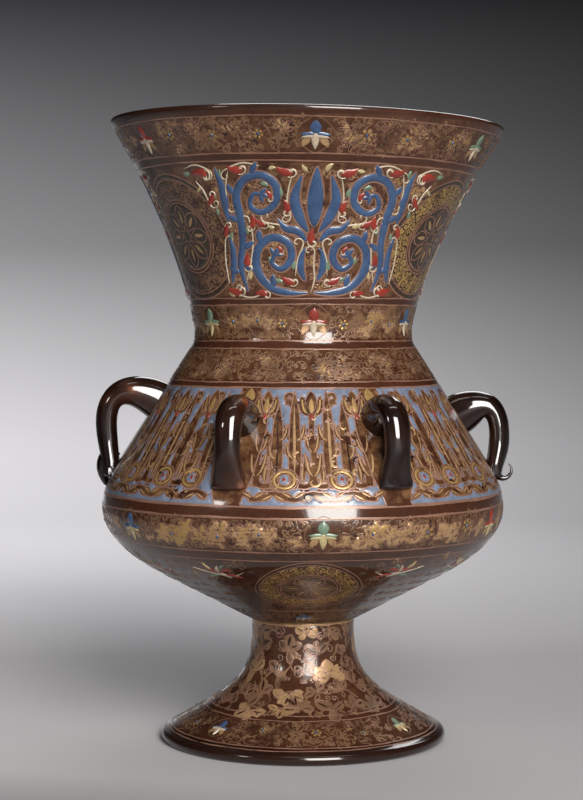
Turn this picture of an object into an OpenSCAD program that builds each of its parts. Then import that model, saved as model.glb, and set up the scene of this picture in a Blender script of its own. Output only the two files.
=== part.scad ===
// Footed hanging oil lamp of blown brown glass: a flared funnel neck on a wide bowl, a trumpet foot,
// six applied loop handles, and a lift-out oil cup with a floating wick.
// Millimetres, +Z up. The origin is on the lamp's axis, in the plane that the foot stands on.
// Azimuths are in degrees round the axis: 0 faces the front (-Y) and 90 faces the right (+X).

/* [Foot] */
// Height of the foot, from the table to the joint under the bowl
foot_h = 65; // [56:0.5:75]
// Outer radius of the foot's rolled lip
foot_r = 77; // [68:0.1:88]
// Outer radius of the stem at the joint
stem_r = 27.4; // [24:0.1:32]
// Height of the rolled lip
lip_h = 6; // [5:0.1:8]
// Width of the flat ring that the lamp stands on
rest_w = 5; // [3:0.1:8]
// Height above the table where the stem's line meets the skirt's line
flare_h = 29.6; // [24:0.1:38]
// How far the skirt's line is drawn out from the stem's line
flare_pull = 6; // [3:0.1:10]
// Glass thickness of the foot
foot_wall = 4; // [3:0.1:6]

/* [Bowl] */
// Height of the bowl's underside, from the joint to the widest line
under_h = 60.5; // [54:0.5:70]
// Outer radius at the widest line
bowl_r = 108; // [98:0.1:120]
// How far inside the widest line the straight underside ends
under_in = 32; // [24:0.1:40]
// How far below the widest line the straight underside ends
under_drop = 35.3; // [30:0.1:38]
// How far inside the widest line the straight shoulder starts
shoulder_in = 6.8; // [4:0.1:10]
// How far above the widest line the straight shoulder starts
shoulder_rise = 21.5; // [18:0.1:26]
// Height of the shoulder, from the widest line to the waist
shoulder_h = 94.5; // [86:0.5:106]
// Step of the bowl's bottom edge outside the stem
joint_step = 0.8; // [0.3:0.1:2]
// Glass thickness of the bowl's floor
floor_t = 5; // [4:0.1:8]

/* [Neck] */
// Outer radius of the waist
waist_r = 58.3; // [53:0.1:65]
// Height of the upright land at the waist
waist_land = 3; // [2:0.1:6]
// How far the corner under the waist is rounded, along each side
waist_round = 4; // [2:0.1:7]
// Height of the funnel, from the waist to the outer edge of the rim
funnel_h = 107.5; // [96:0.5:120]
// Outer radius of the rim
rim_r = 105.4; // [96:0.1:116]
// Height above the waist that the funnel's flare is drawn towards
flare_bend_h = 49.4; // [40:0.1:58]
// How far outside the waist the funnel's flare is drawn towards
flare_bend_out = 9.3; // [6:0.1:13]
// Glass thickness of the bowl, neck and rim
wall = 3.2; // [2.5:0.1:4.5]

/* [Handles] */
// Azimuth of each handle, in the order of the handle names
handle_azimuths = [-84, -21, 26, 85, 148, -148];
// Drop of each handle's root below the waist, in the same order
root_drops = [37, 44, 44, 45, 44, 44];
// Drop of the handles' cut ends below the waist
end_drop = 77; // [72:0.5:80]
// How far a handle's outer side stands past the bowl's widest line
handle_past = 3; // [0.5:0.1:6]
// How far the root's line runs out from the shoulder before the handle bends over
root_run = 18; // [14:0.1:22]
// Drop from the root to the knee, where the handle turns in to the bowl
knee_drop = 12; // [8:0.1:15]
// Half thickness of a handle's rod, out from the bowl
rod_half_t = 5.6; // [4.6:0.1:6.6]
// Half width of a handle's rod, round the bowl
rod_half_w = 7; // [5.6:0.1:8]
// Half length of a flared root, along the shoulder
root_half_l = 11; // [8:0.1:12]
// Half width of a flared root, round the bowl
root_half_w = 8; // [6:0.1:10]
// Half width of a flattened end
pad_half_w = 8.5; // [6:0.1:10]
// Half thickness of a flattened end
pad_half_t = 4.6; // [3.5:0.1:6]

/* [Oil cup] */
// Outer radius of the cup's base
cup_base_r = 20; // [18:0.1:24]
// Outer radius of the cup's rim
cup_rim_r = 31; // [28:0.1:36]
// Height of the cup
cup_h = 62; // [52:0.5:72]
// How far the cup's flare is drawn out beside its base
cup_flare = 4; // [1:0.1:7]
// Glass thickness of the cup's wall
cup_wall = 2.2; // [1.6:0.1:3]
// Glass thickness of the cup's floor
cup_floor = 3; // [2:0.1:5]

/* [Wick float] */
// Gap between the cork float and the cup at the cup's floor
cork_gap = 3; // [2:0.1:5]
// Thickness of the cork float
cork_t = 9; // [6:0.1:12]
// How far the tinned plate's edge stays inside the cork's edge
plate_in = 3; // [1:0.1:5]
// Thickness of the tinned plate
plate_t = 0.8; // [0.5:0.1:1.5]
// Outer radius of the wick tube
tube_r = 3.2; // [2.6:0.1:4]
// Thickness of the wick tube's wall
tube_wall = 0.5; // [0.4:0.05:0.8]
// How far the wick tube stands above its collar
tube_rise = 9; // [6:0.5:14]
// How far the wick tube's collar stands out from the tube
collar_out = 2.2; // [1.2:0.1:3]
// Thickness of the wick tube's collar
collar_t = 0.8; // [0.5:0.1:1.5]
// How far the wick stands above its tube
wick_rise = 5; // [3:0.5:9]
// How far the wick's lower end stays above the tube's lower end
wick_short = 2.5; // [1.5:0.1:4]

/* [Clearances] */
// Gap between pieces that lift or slide past each other
slip = 0.25; // [0.15:0.05:0.4]
// Gap left at a handle's weld, so that its cut face clears the bowl
weld_gap = 0.08; // [0.05:0.01:0.15]

/* [Hidden] */
$fn = 128;
curve_steps = 12;
round_steps = 8;
handle_sides = 16;
HANDLES = ["handle_left", "handle_front_left", "handle_front_right", "handle_right",
           "handle_back_right", "handle_back_left"];

body_colour = [0.25, 0.14, 0.09];
handle_colour = [0.12, 0.06, 0.04];
cup_colour = [0.72, 0.78, 0.72];
cork_colour = [0.66, 0.47, 0.3];
tin_colour = [0.75, 0.75, 0.72];
brass_colour = [0.7, 0.55, 0.25];
cotton_colour = [0.86, 0.83, 0.74];

function unit(v) = v / norm(v);
// The normal on the outer side of a line that runs upwards
function outward(step) = unit([step.y, -step.x]);
// Height at which the line from p to q reaches radius r
function line_z(p, q, r) = p.y + (q.y - p.y) * (r - p.x) / (q.x - p.x);
// Radius at which the line from p to q reaches height z
function line_r(p, q, z) = p.x + (q.x - p.x) * (z - p.y) / (q.y - p.y);
// A list of points without its first one, and a list from its last one to its first
function tail(points) = [for (i = [1:len(points) - 1]) points[i]];
function reversed(points) = [for (i = [len(points) - 1:-1:0]) points[i]];
// A curve from p to q that is drawn towards c, moved outwards by a distance
function bend(p, c, q, by = 0) = [for (i = [0:curve_steps])
    let (t = i / curve_steps, step = (1 - t) * (c - p) + t * (q - c))
    (1 - t) * (1 - t) * p + 2 * t * (1 - t) * c + t * t * q + by * outward(step)];
// A curve from p to q that leaves towards c and arrives from d
function bend_two(p, c, d, q) = [for (i = [0:curve_steps]) let (t = i / curve_steps, s = 1 - t)
    s * s * s * p + 3 * s * s * t * c + 3 * s * t * t * d + t * t * t * q];
// The direction of that curve at each of its points
function bend_two_steps(p, c, d, q) = [for (i = [0:curve_steps]) let (t = i / curve_steps, s = 1 - t)
    s * s * (c - p) + 2 * s * t * (d - c) + t * t * (q - d)];

// Heights of the main levels
widest_z = foot_h + under_h;
waist_z = widest_z + shoulder_h;
floor_z = foot_h + floor_t;

// Key points of the body's outer line, as [radius, height]
joint_edge = [stem_r + joint_step, foot_h];
under_end = [bowl_r - under_in, widest_z - under_drop];
under_pull = [bowl_r, line_z(joint_edge, under_end, bowl_r)];
widest = [bowl_r, widest_z];
shoulder_start = [bowl_r - shoulder_in, widest_z + shoulder_rise];
land_bottom = [waist_r, waist_z - waist_land / 2];
land_top = [waist_r, waist_z + waist_land / 2];
waist_corner = land_bottom - [0, waist_round];
shoulder_end = waist_corner + waist_round * unit(shoulder_start - waist_corner);
shoulder_pull = [bowl_r, line_z(waist_corner, shoulder_start, bowl_r)];
funnel_pull = [waist_r + flare_bend_out, waist_z + flare_bend_h];
rim_edge = [rim_r, waist_z + funnel_h];

// The body's line from the joint to the rim, moved outwards by a distance
function body_line(by) = concat(
    [joint_edge + by * outward(under_end - joint_edge)],
    bend(under_end, under_pull, widest, by),
    tail(bend(widest, shoulder_pull, shoulder_start, by)),
    bend(shoulder_end, waist_corner, land_bottom, by),
    [land_top + [by, 0]],
    tail(bend(land_top, funnel_pull, rim_edge, by)));

// The fire-polished rim, a half round from the outer line to the inner line
rim_normal = outward(rim_edge - funnel_pull);
rim_middle = rim_edge - wall / 2 * rim_normal;
rim_round = [for (i = [1:round_steps - 1])
    let (a = atan2(rim_normal.y, rim_normal.x) + 180 * i / round_steps)
    rim_middle + wall / 2 * [cos(a), sin(a)]];

module glass_body() {
    inner = body_line(-wall);
    floor_edge = [line_r(inner[0], inner[1], floor_z), floor_z];
    color(body_colour) rotate_extrude()
        polygon(concat(body_line(0), rim_round, reversed(tail(inner)),
                       [floor_edge, [0, floor_z], [0, foot_h]]));
}

module foot() {
    lip_middle = [foot_r - lip_h / 2, lip_h / 2];
    lip_round = [for (i = [1:round_steps])
        let (a = 90 - 180 * i / round_steps) lip_middle + lip_h / 2 * [cos(a), sin(a)]];
    // The outer line runs down from the joint to the lip
    joint = [stem_r, foot_h];
    stem_pull = [stem_r, flare_h + flare_pull / 2];
    skirt_pull = [stem_r + flare_pull, flare_h];
    lip_top = lip_middle + [0, lip_h / 2];
    line = bend_two(joint, stem_pull, skirt_pull, lip_top);
    steps = bend_two_steps(joint, stem_pull, skirt_pull, lip_top);
    rest_inner = [lip_middle.x - rest_w, 0];
    hollow = [for (i = [0:curve_steps])
        let (p = line[i] + foot_wall * outward(steps[i])) if (p.x < rest_inner.x && p.y > 0) p];
    color(body_colour) rotate_extrude()
        polygon(concat(line, lip_round, [rest_inner], reversed(hollow)));
}

// Radius of the shoulder's straight stretch at a height, and the normal there
function shoulder_r(z) = line_r(shoulder_start, waist_corner, z);
shoulder_normal = outward(waist_corner - shoulder_start);

// Key points of a handle's centre line in its own plane, as [radius, height]
reach_r = bowl_r + handle_past - rod_half_t;
function root_point(drop) = [shoulder_r(waist_z - drop), waist_z - drop] - wall / 2 * shoulder_normal;
function knee(drop) = [reach_r, waist_z - drop - knee_drop];
end_point = [shoulder_r(waist_z - end_drop) - pad_half_t / 4, waist_z - end_drop];
// The arch runs over from the root to the knee, and the leg comes in from the knee to lie on the bowl
function arch_pulls(drop) = [root_point(drop) + root_run * shoulder_normal,
                             knee(drop) + [0, root_run]];
function leg_pulls(drop) = [knee(drop) - [0, root_run / 2], end_point + [0, root_run / 3]];
function handle_line(drop) = let (a = arch_pulls(drop), b = leg_pulls(drop)) concat(
    bend_two(root_point(drop), a[0], a[1], knee(drop)),
    tail(bend_two(knee(drop), b[0], b[1], end_point)));
function handle_steps(drop) = let (a = arch_pulls(drop), b = leg_pulls(drop)) concat(
    bend_two_steps(root_point(drop), a[0], a[1], knee(drop)),
    tail(bend_two_steps(knee(drop), b[0], b[1], end_point)));

// A handle's half thickness and half width at a share of its length:
// the root narrows to the rod over the arch, and the rod flattens to the pad over the leg
function ease(t) = let (s = min(1, max(0, t))) s * s * (3 - 2 * s);
function swell(t, root, rod, pad) = rod + (root - rod) * (1 - ease(2.2 * t)) + (pad - rod) * ease(3 * t - 2);

module handle_rod(drop) {
    line = handle_line(drop);
    steps = handle_steps(drop);
    last = len(line) - 1;
    points = [for (i = [0:last], k = [0:handle_sides - 1])
        let (a = 360 * k / handle_sides, t = i / last,
             p = line[i] + swell(t, root_half_l, rod_half_t, pad_half_t) * cos(a) * outward(steps[i]))
        [p.x, swell(t, root_half_w, rod_half_w, pad_half_w) * sin(a), p.y]];
    sides = [for (i = [0:last - 1], k = [0:handle_sides - 1])
        let (a = i * handle_sides + k, b = i * handle_sides + (k + 1) % handle_sides)
        each [[a, b, b + handle_sides], [a, b + handle_sides, a + handle_sides]]];
    root_cap = [for (k = [1:handle_sides - 2]) [0, k + 1, k]];
    first = last * handle_sides;
    end_cap = [for (k = [1:handle_sides - 2]) [first, first + k, first + k + 1]];
    polyhedron(points, concat(sides, root_cap, end_cap));
}

// The space inside the body's outer line, grown by the weld gap
module bowl_space() {
    grown = body_line(weld_gap);
    rotate_extrude()
        polygon(concat(grown, [[0, grown[len(grown) - 1].y], [0, grown[0].y]]));
}

module handle(i) {
    color(handle_colour) difference() {
        rotate([0, 0, handle_azimuths[i] - 90]) handle_rod(root_drops[i]);
        bowl_space();
    }
}

// Levels of the oil cup and its float
cup_z = floor_z + slip;
cup_floor_z = cup_z + cup_floor;
cork_z = cup_floor_z + slip;
plate_z = cork_z + cork_t;
collar_z = plate_z + plate_t;
tube_top_z = collar_z + collar_t + tube_rise;
cork_r = cup_base_r - cup_wall - cork_gap;

module oil_cup() {
    base = [cup_base_r, cup_z];
    flare = [cup_base_r + cup_flare, cup_z + cup_h / 2];
    rim = [cup_rim_r, cup_z + cup_h];
    hollow = [for (p = bend(base, flare, rim, -cup_wall)) if (p.y > cup_floor_z) p];
    color(cup_colour) rotate_extrude()
        polygon(concat(bend(base, flare, rim), reversed(hollow),
                       [[cup_base_r - cup_wall, cup_floor_z], [0, cup_floor_z], [0, cup_z]]));
}

// A round plate with the wick tube's hole through it
module holed_plate(r, z, t) {
    translate([0, 0, z]) difference() {
        cylinder(r = r, h = t);
        translate([0, 0, -slip]) cylinder(r = tube_r, h = t + 2 * slip);
    }
}

module cork_float() {
    color(cork_colour) holed_plate(cork_r, cork_z, cork_t);
}

module float_plate() {
    color(tin_colour) holed_plate(cork_r - plate_in, plate_z, plate_t);
}

module wick_tube() {
    color(brass_colour) difference() {
        union() {
            translate([0, 0, cork_z]) cylinder(r = tube_r, h = tube_top_z - cork_z);
            translate([0, 0, collar_z]) cylinder(r = tube_r + collar_out, h = collar_t);
        }
        translate([0, 0, cork_z - slip])
            cylinder(r = tube_r - tube_wall, h = tube_top_z - cork_z + 2 * slip);
    }
}

module wick() {
    wick_z = cork_z + wick_short;
    color(cotton_colour) translate([0, 0, wick_z])
        cylinder(r = tube_r - tube_wall - slip, h = tube_top_z - wick_z + wick_rise);
}

glass_body();
foot();
for (i = [0:len(HANDLES) - 1])
    handle(i);
oil_cup();
cork_float();
float_plate();
wick_tube();
wick();
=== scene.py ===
"""Looks of a footed hanging oil lamp: blown brown glass, gilded scrolls and raised enamel.

Drawing is in millimetres. Azimuths are in degrees round the lamp's axis: 0 faces the front (-Y)
and 90 faces the right (+X). Ornament is drawn flat on a board, which is then wrapped on the glass.
"""

import math
import random

import bpy
import numpy as np
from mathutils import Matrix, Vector
from mathutils.geometry import delaunay_2d_cdt


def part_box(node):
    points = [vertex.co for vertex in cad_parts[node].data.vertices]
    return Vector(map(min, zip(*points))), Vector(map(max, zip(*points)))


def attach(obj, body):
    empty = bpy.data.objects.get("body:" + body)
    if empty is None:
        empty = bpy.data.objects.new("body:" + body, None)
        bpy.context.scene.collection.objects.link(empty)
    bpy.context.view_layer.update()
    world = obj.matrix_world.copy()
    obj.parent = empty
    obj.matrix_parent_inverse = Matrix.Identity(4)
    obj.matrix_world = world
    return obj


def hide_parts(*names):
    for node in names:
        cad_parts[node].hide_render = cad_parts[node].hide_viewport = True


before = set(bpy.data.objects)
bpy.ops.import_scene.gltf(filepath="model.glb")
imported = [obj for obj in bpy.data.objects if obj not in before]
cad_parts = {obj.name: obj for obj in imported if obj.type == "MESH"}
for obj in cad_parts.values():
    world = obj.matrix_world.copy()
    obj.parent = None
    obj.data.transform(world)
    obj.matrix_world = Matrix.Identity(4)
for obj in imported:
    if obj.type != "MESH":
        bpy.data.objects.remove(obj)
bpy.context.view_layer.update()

MM = 0.001
TURN = 2 * math.pi

# Sizes of the glass, as the solids have them
FOOT_H = 65
FOOT_R = 77
STEM_R = 27.4
LIP_H = 6
REST_W = 5
FLARE_H = 29.6
FLARE_PULL = 6
FOOT_WALL = 4
WIDEST_Z = 125.5
BOWL_R = 108
UNDER_IN = 32
UNDER_DROP = 35.3
SHOULDER_IN = 6.8
SHOULDER_RISE = 21.5
JOINT_STEP = 0.8
FLOOR_Z = 70
WAIST_Z = 220
WAIST_R = 58.3
WAIST_LAND = 3
WAIST_ROUND = 4
FUNNEL_H = 107.5
RIM_R = 105.4
FLARE_BEND_H = 49.4
FLARE_BEND_OUT = 9.3
WALL = 3.2

# Handles: name, azimuth, drop of the root below the waist
HANDLES = [("handle_left", -84, 37), ("handle_front_left", -21, 44), ("handle_front_right", 26, 44),
           ("handle_right", 85, 45), ("handle_back_right", 148, 44), ("handle_back_left", -148, 44)]
END_DROP = 77
HANDLE_PAST = 3
ROOT_RUN = 18
KNEE_DROP = 12
ROD_HALF_T = 5.6
ROD_HALF_W = 7
ROOT_HALF_L = 11
ROOT_HALF_W = 8
PAD_HALF_W = 8.5
PAD_HALF_T = 4.6

# How the hand-blown glass departs from a turned form
RIM_DRIFT = 2.2
RIM_DIP = 2.4
RIPPLE = 0.3

# Heights of the painted levels, from the rim down to the lip
RIM_BAND = (307.5, 324.3)
NECK_LINES = (303.6, 307.2)
NECK_PANEL = (237.2, 302.0)
WAIST_TOP_LINES = (233.4, 236.6)
WAIST_BAND = (215.4, 233.0)
WAIST_LOW_LINES = (210.9, 214.9)
SHOULDER_BAND = (194.6, 210.6)
SHOULDER_LINES = (191.4, 194.2)
BODY_BAND = (134.6, 191.0)
BELLY_TOP_LINES = (128.6, 134.0)
BELLY_BAND = (112.2, 128.2)
BELLY_LOW_LINES = (107.0, 111.6)
UNDER_BAND = (75.0, 106.5)
STEM_BAND = (65.6, 74.0)
FOOT_LEAVES = (23.0, 63.5)
FOOT_TOP_LINES = (18.4, 20.4)
FOOT_BAND = (8.6, 18.0)
FOOT_LOW_LINES = (6.9, 8.0)

AROUND = 256
LINE_STEP = 2.2


# Curves

def point(x, y):
    return np.array([x, y], float)


def heading(a):
    """The direction at an angle in radians."""
    return point(math.cos(a), math.sin(a))


def left_of(way):
    """The direction to the left of a way, or of each way in a row of them."""
    return np.stack([-way[..., 1], way[..., 0]], -1)


def unit(v):
    return v / np.linalg.norm(v)


def ways(path):
    """The direction of a path at each of its points."""
    way = np.gradient(path, axis=0)
    return way / np.maximum(np.linalg.norm(way, axis=1), 1e-6)[:, None]


def ease(t):
    t = np.clip(t, 0, 1)
    return t * t * (3 - 2 * t)


def bend(p, c, q, steps=24):
    """A curve from p to q that is drawn towards c."""
    t = np.linspace(0, 1, steps + 1)[:, None]
    return (1 - t) ** 2 * p + 2 * t * (1 - t) * c + t * t * q


def bend_two(p, c, d, q, steps):
    """A curve from p to q that leaves towards c and arrives from d."""
    t = np.linspace(0, 1, steps + 1)[:, None]
    s = 1 - t
    return s ** 3 * p + 3 * s * s * t * c + 3 * s * t * t * d + t ** 3 * q


def through(points, steps=8):
    """A smooth curve through given points."""
    p = np.array(points, float)
    p = np.vstack([2 * p[0] - p[1], p, 2 * p[-1] - p[-2]])
    t = np.linspace(0, 1, steps + 1)[:-1, None]
    runs = []
    for a, b, c, d in zip(p, p[1:], p[2:], p[3:]):
        runs.append(b + 0.5 * t * (c - a + t * (2 * a - 5 * b + 4 * c - d + t * (3 * (b - c) + d - a))))
    return np.vstack(runs + [p[-2:-1]])


def lengths(path):
    steps = np.linalg.norm(np.diff(path, axis=0), axis=1)
    return np.concatenate([[0], np.cumsum(steps)])


def evenly(path, step):
    """The same path with its points about one step apart."""
    along = lengths(path)
    count = max(2, int(round(along[-1] / step)) + 1)
    share = np.linspace(0, along[-1], count)
    return np.stack([np.interp(share, along, path[:, k]) for k in range(path.shape[1])], 1)


def joined(loop):
    """A closed outline that comes back to its first point."""
    return np.vstack([loop, loop[:1]])


def evenly_round(loop, step):
    return evenly(joined(loop), step)[:-1]


def curl(centre, radius, turns, start, hand, core=0.22, step=0.9):
    """A spiral that winds in from its outer end at the start angle, in degrees; hand 1 is to the left."""
    count = max(8, int(turns * TURN * radius * 0.6 / step))
    t = np.linspace(0, 1, count)
    a = math.radians(start) + hand * turns * TURN * t
    r = radius * (1 - (1 - core) * t ** 0.9)
    return np.stack([centre[0] + r * np.cos(a), centre[1] + r * np.sin(a)], 1)


def loose_curl(rng, centre, radius, turns):
    """A curl that starts anywhere and winds either way."""
    return curl(centre, radius, turns, rng.uniform(0, 360), rng.choice((-1, 1)))


def somewhere(rng, wide, tall):
    return point(rng.uniform(-wide, wide), rng.uniform(-tall, tall))


def ring(radius, centre=(0, 0), step=1.6):
    a = np.linspace(0, TURN, max(12, int(TURN * radius / step)) + 1)[:-1]
    return np.stack([centre[0] + radius * np.cos(a), centre[1] + radius * np.sin(a)], 1)


def leaf_width(count, width, fullest, tip=0.02):
    """Widths along a leaf that is pointed at both ends and fullest at a share of its length."""
    t = np.linspace(0, 1, count)
    power = math.log(0.5) / math.log(fullest)
    return width * (tip + (1 - tip) * np.sin(math.pi * t ** power) ** 0.85)


def brush_width(count, width, start=0.45, end=0.1):
    """Widths along a brush stroke that swells from its start and thins to its end."""
    t = np.linspace(0, 1, count)
    return width * np.interp(t, [0, 0.12, 0.35, 0.7, 1], [start, 0.8, 1, 0.85, end])


def mirrored(path):
    return path * [-1, 1]


# The glass lines, as radius and height

SHOULDER_START = point(BOWL_R - SHOULDER_IN, WIDEST_Z + SHOULDER_RISE)
WAIST_CORNER = point(WAIST_R, WAIST_Z - WAIST_LAND / 2 - WAIST_ROUND)


def line_z(p, q, r):
    return p[1] + (q[1] - p[1]) * (r - p[0]) / (q[0] - p[0])


def body_line():
    """The body's outer line, from the joint over the foot up to the rim."""
    joint_edge = point(STEM_R + JOINT_STEP, FOOT_H)
    under_end = point(BOWL_R - UNDER_IN, WIDEST_Z - UNDER_DROP)
    under_pull = point(BOWL_R, line_z(joint_edge, under_end, BOWL_R))
    widest = point(BOWL_R, WIDEST_Z)
    land_bottom = point(WAIST_R, WAIST_Z - WAIST_LAND / 2)
    land_top = point(WAIST_R, WAIST_Z + WAIST_LAND / 2)
    shoulder_pull = point(BOWL_R, line_z(WAIST_CORNER, SHOULDER_START, BOWL_R))
    shoulder_end = WAIST_CORNER + WAIST_ROUND * unit(SHOULDER_START - WAIST_CORNER)
    funnel_pull = point(WAIST_R + FLARE_BEND_OUT, WAIST_Z + FLARE_BEND_H)
    rim_edge = point(RIM_R, WAIST_Z + FUNNEL_H)
    return np.vstack([
        joint_edge,
        bend(under_end, under_pull, widest),
        bend(widest, shoulder_pull, SHOULDER_START)[1:],
        bend(shoulder_end, WAIST_CORNER, land_bottom),
        bend(land_top, funnel_pull, rim_edge, 48)])


def foot_line():
    """The foot's outer line, from the lip up to the joint."""
    lip_top = point(FOOT_R - LIP_H / 2, LIP_H)
    skirt_pull = point(STEM_R + FLARE_PULL, FLARE_H)
    stem_pull = point(STEM_R, FLARE_H + FLARE_PULL / 2)
    return bend_two(lip_top, skirt_pull, stem_pull, point(STEM_R, FOOT_H), 48)


class GlassLine:
    """An outer line of the glass that runs upwards, measured along its length."""

    def __init__(self, path):
        self.path = evenly(path, LINE_STEP)
        self.along = lengths(self.path)
        tangent = np.gradient(self.path, self.along, axis=0)
        tangent /= np.linalg.norm(tangent, axis=1)[:, None]
        self.normal = -left_of(tangent)

    def place(self, along):
        """Radius, height and outward normal at places along the line."""
        columns = [*self.path.T, *self.normal.T]
        return [np.interp(along, self.along, c) for c in columns]

    def at_height(self, z):
        return float(np.interp(z, self.path[:, 1], self.along))

    def radius_at(self, z):
        return np.interp(z, self.path[:, 1], self.path[:, 0])

    def moved(self, by):
        return self.path + by * self.normal


BODY = GlassLine(body_line())
FOOT = GlassLine(foot_line())


def hand_blown(points):
    """Moves points of the turned form to the hand-blown one: the funnel leans right and dips there."""
    x, y, z = points.T
    up = ease((z - WAIST_Z) / FUNNEL_H)
    azimuth = np.arctan2(x, -y)
    radius = np.hypot(x, y)
    ripple = RIPPLE * np.sin(2 * azimuth + z / 40) + 0.5 * RIPPLE * np.sin(3 * azimuth - z / 23)
    ripple = ripple * np.minimum(1, radius / BOWL_R) * np.minimum(1, z / FOOT_H)
    grown = 1 + ripple / np.maximum(radius, 1)
    return np.stack([x * grown + RIM_DRIFT * up, y * grown, z - RIM_DIP * up * x / RIM_R], 1)


def spun(radius, height, azimuth):
    """Points in space from radius, height and azimuth in radians."""
    return np.stack([radius * np.sin(azimuth), -radius * np.cos(azimuth), height], 1)


# Meshes

def put_in_scene(name, data):
    thing = bpy.data.objects.new(name, data)
    bpy.context.scene.collection.objects.link(thing)
    return thing


def new_mesh(name, points, faces, material):
    """A smooth mesh of one material, in metres."""
    mesh = bpy.data.meshes.new(name)
    mesh.from_pydata(points, [], faces)
    mesh.polygons.foreach_set("use_smooth", [True] * len(mesh.polygons))
    mesh.materials.append(material)
    return put_in_scene(name, mesh)


def new_piece(name, points, faces, material, slot, body="lamp"):
    piece = new_mesh(name, (np.asarray(points) * MM).tolist(), faces, material)
    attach(piece, body)
    return piece


def grid_faces(rows, columns, close_rows, close_columns, first=0):
    """Quads of a grid of points that is stored row by row."""
    faces = []
    for i in range(rows if close_rows else rows - 1):
        a = first + i * columns
        b = first + ((i + 1) % rows) * columns
        for j in range(columns if close_columns else columns - 1):
            k = (j + 1) % columns
            faces.append((a + j, a + k, b + k, b + j))
    return faces


def revolved(section, closed):
    """A turned form: a closed section, or one that starts and ends on the axis."""
    section = np.asarray(section)
    azimuth = np.linspace(0, TURN, AROUND + 1)[:-1]
    rings = section if closed else section[1:-1]
    radius = np.repeat(rings[:, 0], AROUND)
    height = np.repeat(rings[:, 1], AROUND)
    points = spun(radius, height, np.tile(azimuth, len(rings)))
    faces = grid_faces(len(rings), AROUND, closed, True)
    if not closed:
        poles = [(0, 0, section[0, 1]), (0, 0, section[-1, 1])]
        points = np.vstack([points, poles])
        last = (len(rings) - 1) * AROUND
        for j in range(AROUND):
            k = (j + 1) % AROUND
            faces.append((k, j, len(points) - 2))
            faces.append((last + j, last + k, len(points) - 1))
    return hand_blown(points), faces


def half_round(start, end, steps=8):
    """A half circle from start to end, bulging to the left of the way there, ends left out."""
    middle = (start + end) / 2
    arm = start - middle
    a = np.linspace(0, math.pi, steps + 1)[1:-1, None]
    return middle + np.cos(a) * arm + np.sin(a) * left_of(arm)


def plain_inside(piece, first, material):
    """Gives the faces from one row of the section on a second material."""
    piece.data.materials.append(material)
    count = len(piece.data.polygons)
    piece.data.polygons.foreach_set("material_index", [int(k >= first * AROUND) for k in range(count)])


FLOOR_SLOPE = 1.9


def make_glass_body(material, inside):
    inner = BODY.moved(-WALL)
    inner = inner[inner[:, 1] > FLOOR_Z + 0.5]
    rim = half_round(BODY.path[-1], inner[-1])
    bottom = [point(0, FOOT_H), point(STEM_R - FOOT_WALL, FOOT_H)]
    floor_edge = point(inner[0, 0] - (inner[0, 1] - FLOOR_Z) * FLOOR_SLOPE, FLOOR_Z)
    section = np.vstack([bottom, BODY.path, rim, inner[::-1], floor_edge, point(0, FLOOR_Z)])
    piece = new_piece("blown_body", *revolved(section, False), material, "enamelled_glass")
    plain_inside(piece, len(bottom) + len(BODY.path) + len(rim) // 2, inside)
    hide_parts("glass_body")


def make_foot(material, inside):
    lip_r = FOOT_R - LIP_H / 2
    lip = half_round(point(lip_r, 0), FOOT.path[0], 12)
    rest = [point(lip_r - REST_W, 0), point(lip_r, 0)]
    hollow = FOOT.moved(-FOOT_WALL)
    hollow = hollow[(hollow[:, 0] < rest[0][0] - 0.5) & (hollow[:, 1] > 0.3)]
    hollow[-1, 1] = FOOT_H
    section = np.vstack([rest, lip, FOOT.path, hollow[::-1]])
    piece = new_piece("trumpet_foot", *revolved(section, True), material, "enamelled_glass")
    plain_inside(piece, len(rest) + len(lip) + len(FOOT.path), inside)
    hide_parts("foot")


# Handles

ROD_SIDES = 28
DRIP_SIDES = 12
SINK = 1.2

# Glass that ran past the end of a handle: places out from the end and up from it, with half widths
DRIPS = {
    "handle_left": [(-1, 14, 4.6), (3.4, 8, 4.2), (4.6, 2, 3.4), (3.4, -4, 1.6), (1.5, -6.5, 0.4)],
    "handle_right": [(0, 4, 2.4), (3.4, -1.4, 1.8), (7.2, -1.6, 1.2), (9.6, 1.4, 0.8), (9.0, 4.8, 0.4),
                     (7.8, 5.6, 0.2)]}


def shoulder_r(z):
    share = (z - SHOULDER_START[1]) / (WAIST_CORNER[1] - SHOULDER_START[1])
    return SHOULDER_START[0] + share * (WAIST_CORNER[0] - SHOULDER_START[0])


def handle_line(drop):
    """A handle's centre line in its own plane: the arch from root to knee, and the leg to the end."""
    normal = -left_of(unit(WAIST_CORNER - SHOULDER_START))
    root_z = WAIST_Z - drop
    root = point(shoulder_r(root_z), root_z) - WALL / 2 * normal
    knee = point(BOWL_R + HANDLE_PAST - ROD_HALF_T, root_z - KNEE_DROP)
    end_z = WAIST_Z - END_DROP
    end = point(shoulder_r(end_z) - PAD_HALF_T / 4, end_z)
    arch = bend_two(root, root + ROOT_RUN * normal, knee + [0, ROOT_RUN], knee, 30)
    leg = bend_two(knee, knee - [0, ROOT_RUN / 2], end + [0, ROOT_RUN / 3], end, 22)
    return np.vstack([arch, leg[1:]])


def swell(t, root, rod, pad):
    """Half size at a share of a handle's length: a flared root, an even rod, a flattened end."""
    return rod + (root - rod) * (1 - ease(2.2 * t)) + (pad - rod) * ease(3 * t - 2)


def drip(points):
    """A thin run of glass in a handle's own plane, as rings of radius, height and side."""
    path = through(points, 5)
    way = ways(path[:, :2])
    a = np.linspace(0, TURN, DRIP_SIDES + 1)[:-1]
    half = path[:, 2:]
    radius = path[:, :1] + half * np.cos(a) * way[:, 1:]
    height = path[:, 1:2] - half * np.cos(a) * way[:, :1]
    side = half * np.sin(a) * np.ones_like(radius)
    return radius, height, side


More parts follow.
